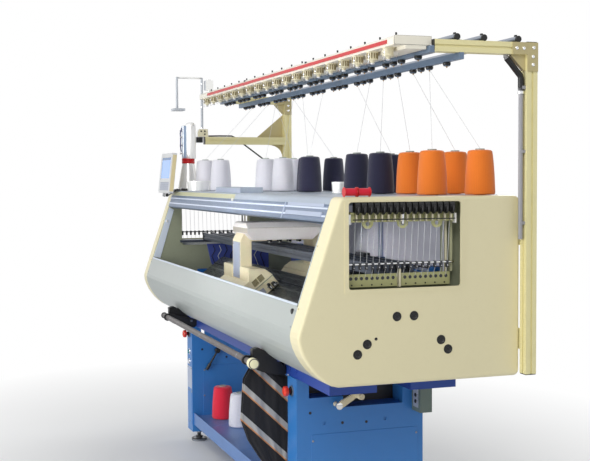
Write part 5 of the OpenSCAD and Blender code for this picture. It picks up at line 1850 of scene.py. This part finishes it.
@dataclass
class BaseTrim:
    """Doors, bolts, cables, the rear wall's parts and the motor's fittings.

    Attributes:
        leg: Middle of a leg along the machine.
        leg_in: Its inner face.
        leg_out: Its outer face.
        wall: Rear face of the parts on the rear wall.
    """

    leg: float = 885
    leg_in: float = 830
    leg_out: float = 940
    wall: float = 474.2

    def leg_side(self, form: Form, end: int, x: float, way: int) -> None:
        """Adds a door, screws, caps and vents to one side of a leg.

        Args:
            form: The form to add to.
            end: 1 for the right leg, -1 for the left one.
            x: Place of the side's face.
            way: The direction it faces along the machine.
        """
        form.prism(LEG_BLUE, X, rounded((-206, 96), (268, 430), 8), x, x + way * 1.6, 0.6)
        for y, z in ((-210, 520), (-70, 470), (36, 466)):
            form.turned(BLACK_STEEL, X, (x, y, z), [(6, -1), (6, 0.8), (3, 1.2), (0, 0)], 14, facing=way)
        for y in (-199, 261):
            for z in (120, 260, 404):
                form.screw(PLATE_STEEL, X, (x + way * 1.4, y, z), 4.6, way)
        if end < 0 and way < 0:
            form.turned(STOP_RED, X, (x - 2.6, -228, 340), [(7, -3), (7, -2), (5, -4), (0, -4.4)], 20)
        for line in range(7):
            z = 150 + line * 12
            form.prism(BEAM_BLUE, X, [(120, z), (230, z), (230, z + 2.5), (120, z + 5)], x + way * 2.2,
                       x + way * 4.2)

    def legs(self) -> None:
        """Adds doors, seams and bolts to the legs."""
        form = Form("leg_panels")
        for end in (-1, 1):
            self.leg_side(form, end, end * self.leg_out, end)
            self.leg_side(form, end, end * self.leg_in, -end)
            # In the right leg this inner sheet is black, as painted shade in the leg's opening; in the left
            # leg it is blue.
            form.box(BLACK_STEEL if end > 0 else LEG_BLUE, (end * 834, -196, 470), (end * 838, 205, 659.4),
                     1)
            x = end * self.leg
            form.prism(LEG_BLUE, Y, rounded((x - 42, 96), (x + 42, 300), 6), -269.6, -268, 0.5)
            for z in (110, 286):
                form.screw(PLATE_STEEL, Y, (x, -269.6, z), 4.6, -1)
            for x in (end * 850, end * 920):
                for y in (220, 280):
                    form.screw(BLACK_STEEL, Z, (x, y, 534), 6)
        form.piece(MACHINE, "blue_paint")

    def beams(self) -> None:
        """Bolts the bed beams and the feet, and edges the tray."""
        form = Form("beam_bolts")
        for x in (-925, -845, 845, 925):
            for side in (-1, 1):
                form.screw(BEAM_BLUE, Y, (x, side * 261.3, 690), 7.5, side)
                form.screw(BEAM_BLUE, Y, (x, side * 261.3, 770), 6, side)
        for x in (-self.leg, self.leg):
            for y in (-218, 242):
                form.turned(PLATE_STEEL, Z, (x, y, 0),
                            [(42.2, 1), (43, 3), (43, 9), (38, 13), (20, 15), (12, 15.2)], 36)
                form.turned(PLATE_STEEL, Z, (x, y, 44),
                            [(10.2, 0), (18, 1.2), (18, 12), (14, 15.4), (10.2, 15.6)], 6)
        form.piece(MACHINE, "deep_blue_paint")
        form = Form("tray_rims")
        for y in (-259, 283):
            form.turned(TRAY, X, (-829, y, 164), [(0, 0), (3.4, 0.4), (3.4, 1657.6), (0, 1658)], 12)
        for x in (-560, 0, 560):
            form.box(TRAY, (x - 12, -255, 149.6), (x + 12, 279, 151), 0.6)
        form.piece(MACHINE, "tray_sheet")

    def cables(self) -> None:
        """Runs three clipped cables along the front beam."""
        form = Form("beam_cables")
        for lane, finish in enumerate((BLACK, CONDUIT, BRIGHT_BLUE)):
            z = 742 + 8 * lane
            path = [(-1270 + step * 60, -264.4, z + 1.6 * math.sin(step * 1.3 + lane)) for step in range(43)]
            form.sweep(finish, path, 2.8, 8)
        for index in range(14):
            x = -1200 + index * 185
            form.box(BLACK, (x, -268.6, 737), (x + 9, -261.2, 763), 0.8)
        form.piece(MACHINE, "black_plastic")

    def rear_wall(self) -> None:
        """Lines the inside of the rear cover, and hangs its ducts, boxes and leads."""
        form = Form("rear_wall_lining")
        # From the bottom up the lining goes from deep blue through grey-blue to pale; the pale top band is
        # painted light.
        for finish, x0, x1, z0, z1 in ((WALL_BLUE, -1290, -400.6, 720, 1057.4),
                                       (WALL_BLUE, -400, 1290, 720, 899.4),
                                       (GREY_BLUE, -400, 1290, 900, 1057.4), (WALL_PAINTED_LIGHT, -1290, 1290, 1058,
                                                                              1364)):
            form.box(finish, (x0, 474.4, z0), (x1, 476.8, z1), 0.6)
        for x in (60, 96):
            form.box(GREY_BLUE, (x, 470, 1062), (x + 22, self.wall, 1360), 0.8)
        for x in range(-1200, 1300, 200):
            form.screw(PLATE_STEEL, Y, (x, 474.4, 1072), 4, -1)
        form.piece(MACHINE, "motor_grey")
        form = Form("rear_wall_parts")
        form.box(BLACK, (-1280, 464, 1040), (330, self.wall, 1057), 1)
        form.box(TEAL, (-110, 400, 950), (84, self.wall, 978), 3)
        form.box(BLACK, (-310, 400, 930), (-160, self.wall, 972), 2)
        form.box(SHEET_WHITE, (512, 440, 1010), (746, self.wall, 1043), 2)
        for lane, finish in enumerate((BLACK, BRIGHT_BLUE, BLACK, CONDUIT, BLACK)):
            path = [(-1240 + step * 80, 462 - 3 * lane,
                     1060 - 17 * lane + 7 * math.sin(step * 0.9 + 1.7 * lane))
                    for step in range(32)]
            form.sweep(finish, path, 3.6, 8)
        for index in range(8):
            x = -1120 + index * 300
            form.box(BLACK if index % 2 else BRIGHT_BLUE, (x, 446, 960), (x + 60, self.wall, 1080), 2)
        form.piece(MACHINE, "motor_grey")

    def motor(self) -> None:
        """Adds fins, a terminal box and bolts to the carriage motor, and dresses the switch box."""
        form = Form("motor_parts")
        x, z = 1216, 859.9
        for index in range(7):
            form.turned(MOTOR_GREY, Y, (x, 360 + index * 11, z),
                        [(44.2, 0), (47, 0.8), (47, 4), (44.2, 4.8)], 36)
        form.turned(BLACK, Y, (x, 440, z), [(42, -0.4), (42, 2), (38, 3.2), (0, 3.2)], 32)
        form.box(BLACK, (x - 22, 366, z + 42), (x + 22, 420, z + 62), 2)
        for dx in (-52, 52):
            for y in (300, 420):
                form.screw(PLATE_STEEL, Z, (x + dx, y, 809.9), 5)
        form.box(KEY_GREY, (956, 239.8, 520), (1006, 242.4, 606), 0.8)
        for z in (545, 571):
            form.turned(BLACK, Y, (982, 240, z), [(8, 0.4), (8, -3), (6.4, -4.4), (0, -4.4)], 20)
        form.box(MOTOR_GREY, (1019.6, 248, 512), (1021.4, 290, 614), 0.8)
        form.piece(MACHINE, "motor_grey")

    def build(self) -> None:
        """Makes all of the base's trim."""
        for make in (self.legs, self.beams, self.cables, self.rear_wall, self.motor):
            make()


@dataclass
class TableWare:
    """The tubs and the small winding device on the table.

    Attributes:
        device: The device's place on the table.
        small: Radius and height of the small tub.
        large: Those of the large one.
    """

    device: Pair = (-1290, -168)
    small: Pair = (36, 52)
    large: Pair = (69, 58)

    def tub(self, form: Form, x: float, y: float, size: Pair) -> None:
        """Makes an open tub with a rolled rim.

        Args:
            form: The form to add to.
            x: Its place along the machine.
            y: Its place across it.
            size: Its radius and height.
        """
        r, h = size
        profile = [(0.9 * r, 0.2), (0.93 * r, 1.5), (0.98 * r, h - 9), (r, h - 8), (r, h - 1), (r - 1, h),
                   (r - 3, h), (r - 3.6, h - 1.2), (r - 4, h - 7), (0, h - 7)]
        form.turned(ENAMEL, Z, (x, y, TABLE_Z), profile, 40)

    def winder(self, form: Form) -> None:
        """Makes the winding device: a foot, a red collar, a tube and a slotted front.

        Args:
            form: The form to add to.
        """
        x, y = self.device
        foot = [(64, 0.2), (66, 2), (66, 7), (62, 10), (57, 40), (48, 96), (38, 150), (36, 160)]
        form.turned(ENAMEL, Z, (x, y, TABLE_Z), foot, 40)
        collar = [(34, 0), (38.4, 1), (38.4, 12), (37, 14), (37, 18), (38, 20), (38, 29), (30, 30.5)]
        form.turned(RED, Z, (x, y, 1560), collar, 36)
        head = [(31, 0), (31, 190), (29, 201), (23, 209), (13, 213.4), (0, 214.4)]
        form.turned(ENAMEL, Z, (x + 4, y + 14, 1590), head, 36)
        form.box(STEEL_BLUE, (x - 17, y - 35, 1590), (x + 17, y - 12, 1786), 3)
        for z in (1620, 1668, 1716, 1752):
            form.turned(CHROME, Y, (x, y - 34, z), [(8, 2), (9, -2), (5, -5), (5, -13), (8, -16), (0, -17)],
                        18)
        form.sweep(BLUE_LINE, [(x + 8, y - 40, 1770), (x + 4, y - 48, 1740), (x - 4, y - 44, 1700),
                               (x + 6, y - 48, 1664), (x - 2, y - 42, 1630)], 3.4, 10)

    def build(self) -> None:
        """Makes the things on the table."""
        form = Form("table_things")
        self.tub(form, 406, 130, self.small)
        self.tub(form, -1058, -163, self.large)
        self.winder(form)
        form.piece(MACHINE, "ware_white", "table_ware")


@dataclass
class Studio:
    """The camera, lights and ground.

    Attributes:
        place: The camera's place in metres.
        heading: Its turn to the left of straight along -X, in radians.
        dip: How far it looks down, in radians.
        roll: Its roll, in radians.
        lens: Focal length in millimetres on a 36 mm sensor.
    """

    place: Point = (5.0636, -1.73325, 1.4688)
    heading: float = 0.3328
    dip: float = 0.0476
    roll: float = -0.0054
    lens: float = 66.7

    def camera(self) -> None:
        """Makes the scene's camera where the photograph was taken from."""
        data = bpy.data.cameras.new("photo_camera")
        data.lens = self.lens
        data.sensor_width = 36
        data.clip_end = 60
        shown = bpy.data.objects.new("photo_camera", data)
        ahead = Vector((-math.cos(self.heading), math.sin(self.heading), 0))
        right = Vector((math.sin(self.heading), math.cos(self.heading), 0))
        up = Vector((0, 0, 1))
        look = ahead * math.cos(self.dip) - up * math.sin(self.dip)
        head = up * math.cos(self.dip) + ahead * math.sin(self.dip)
        side = right * math.cos(self.roll) + head * math.sin(self.roll)
        top = head * math.cos(self.roll) - right * math.sin(self.roll)
        turned = Matrix((side, top, -look)).transposed()
        shown.matrix_world = Matrix.Translation(Vector(self.place)) @ turned.to_4x4()
        bpy.context.collection.objects.link(shown)
        bpy.context.scene.camera = shown

    def lamp(self, name: str, place: Point, aim: Point, size: float, power: float,
             colour: Point = (1, 1, 1), beam: float = 180) -> None:
        """Hangs a square soft lamp.

        Args:
            name: The lamp's name.
            place: Its place in metres.
            aim: The point it faces.
            size: Side of the lamp in metres.
            power: Its power in watts.
            colour: Its colour.
            beam: How wide its light spreads, in degrees.
        """
        data = bpy.data.lights.new(name, "AREA")
        data.shape = "SQUARE"
        data.size = size
        data.energy = power
        data.color = colour
        data.spread = math.radians(beam)
        shown = bpy.data.objects.new(name, data)
        way = Vector(aim) - Vector(place)
        shown.matrix_world = Matrix.Translation(Vector(place)) @ way.to_track_quat("-Z",
                                                                                   "Y").to_matrix().to_4x4()
        bpy.context.collection.objects.link(shown)

    def ground(self) -> None:
        """Lays a plain pale floor that fades into the white background."""
        mesh = bmesh.new()
        bmesh.ops.create_grid(mesh, x_segments=4, y_segments=4, size=30)
        data = bpy.data.meshes.new("floor")
        mesh.to_mesh(data)
        mesh.free()
        material = bpy.data.materials.new("pale_floor")
        material.use_nodes = True
        net = Net(material.node_tree)
        shader = net.tree.nodes["Principled BSDF"]
        place = net.coords()
        cloud = net.spread(net.noise(place, 0.7, 3), 0.3, 0.7)
        net.feed(shader.inputs["Base Color"], net.mix(cloud, (0.8, 0.8, 0.8, 1), (0.83, 0.83, 0.83, 1)))
        net.feed(shader.inputs["Roughness"], 0.6)
        reach = net.node("VectorMath", {0: net.squeeze(place, 0.72)})
        reach.operation = "LENGTH"
        seen = net.node("LightPath").outputs["Is Camera Ray"]
        faded = net.math("MULTIPLY", net.spread(reach.outputs["Value"], 0.9, 2.6), seen)
        white = net.node("Emission", {"Color": (1, 1, 1, 1)})
        blend = net.node("MixShader", {0: faded, 1: shader.outputs[0], 2: white.outputs[0]})
        net.feed(net.tree.nodes["Material Output"].inputs["Surface"], blend.outputs[0])
        data.materials.append(material)
        shown = bpy.data.objects.new("floor", data)
        bpy.context.collection.objects.link(shown)

    def background(self) -> None:
        """Makes what the camera and mirrors see white, and what lights the scene soft grey."""
        world = bpy.data.worlds.new("studio")
        bpy.context.scene.world = world
        world.use_nodes = True
        net = Net(world.node_tree)
        net.tree.nodes.clear()
        rays = net.node("LightPath").outputs
        white = net.node("Background", {"Color": (1, 1, 1, 1), "Strength": 1})
        soft = net.node("Background", {"Color": (0.94, 0.97, 1, 1), "Strength": 0.42})
        mirrored = net.math("MAXIMUM", rays["Is Glossy Ray"], rays["Is Transmission Ray"])
        seen = net.math("MAXIMUM", rays["Is Camera Ray"], mirrored)
        choose = net.node("MixShader", {0: seen, 1: soft.outputs[0], 2: white.outputs[0]})
        net.node("OutputWorld", {"Surface": choose.outputs[0]})

    def build(self) -> None:
        """Sets up the whole studio."""
        scene = bpy.context.scene
        scene.view_settings.view_transform = "Standard"
        scene.render.film_transparent = False
        self.camera()
        self.ground()
        self.background()
        self.lamp("key", (5.2, -2.6, 4.6), (0.6, 0, 1), 2.4, 126, (1, 0.985, 0.95))
        self.lamp("front_fill", (0.6, -5.2, 2.2), (-0.2, 0, 1), 3.2, 68, (0.98, 0.985, 1))
        self.lamp("low_fill", (1.6, -4.6, 1.5), (-0.2, 0.1, 1.15), 1.8, 70, (1, 0.99, 0.97))
        self.lamp("carriage_light", (3.4, -4.3, 1.8), (0.05, -0.02, 1.25), 0.5, 0.9, beam=12)
        self.lamp("back", (-2.6, 4.2, 4.2), (0, 0, 1.2), 2.6, 110)
        log.info("studio ready")


def main() -> None:
    """Builds the looks round the frame, piece by piece."""
    logging.basicConfig(level=logging.INFO, format="%(message)s")
    Studio().build()
    dress_frame()
    for builder in (YarnCones, DrapedCloth, NeedleBeds, EndCoverTrim, YarnWindows, FrontTrim, CarriageTrim,
                    FeederTrim, StandTrim, ControlPanel, Controls, BaseTrim, TableWare):
        log.info("building %s", builder.__name__)
        builder().build()


if __name__ == "__main__":
    main()
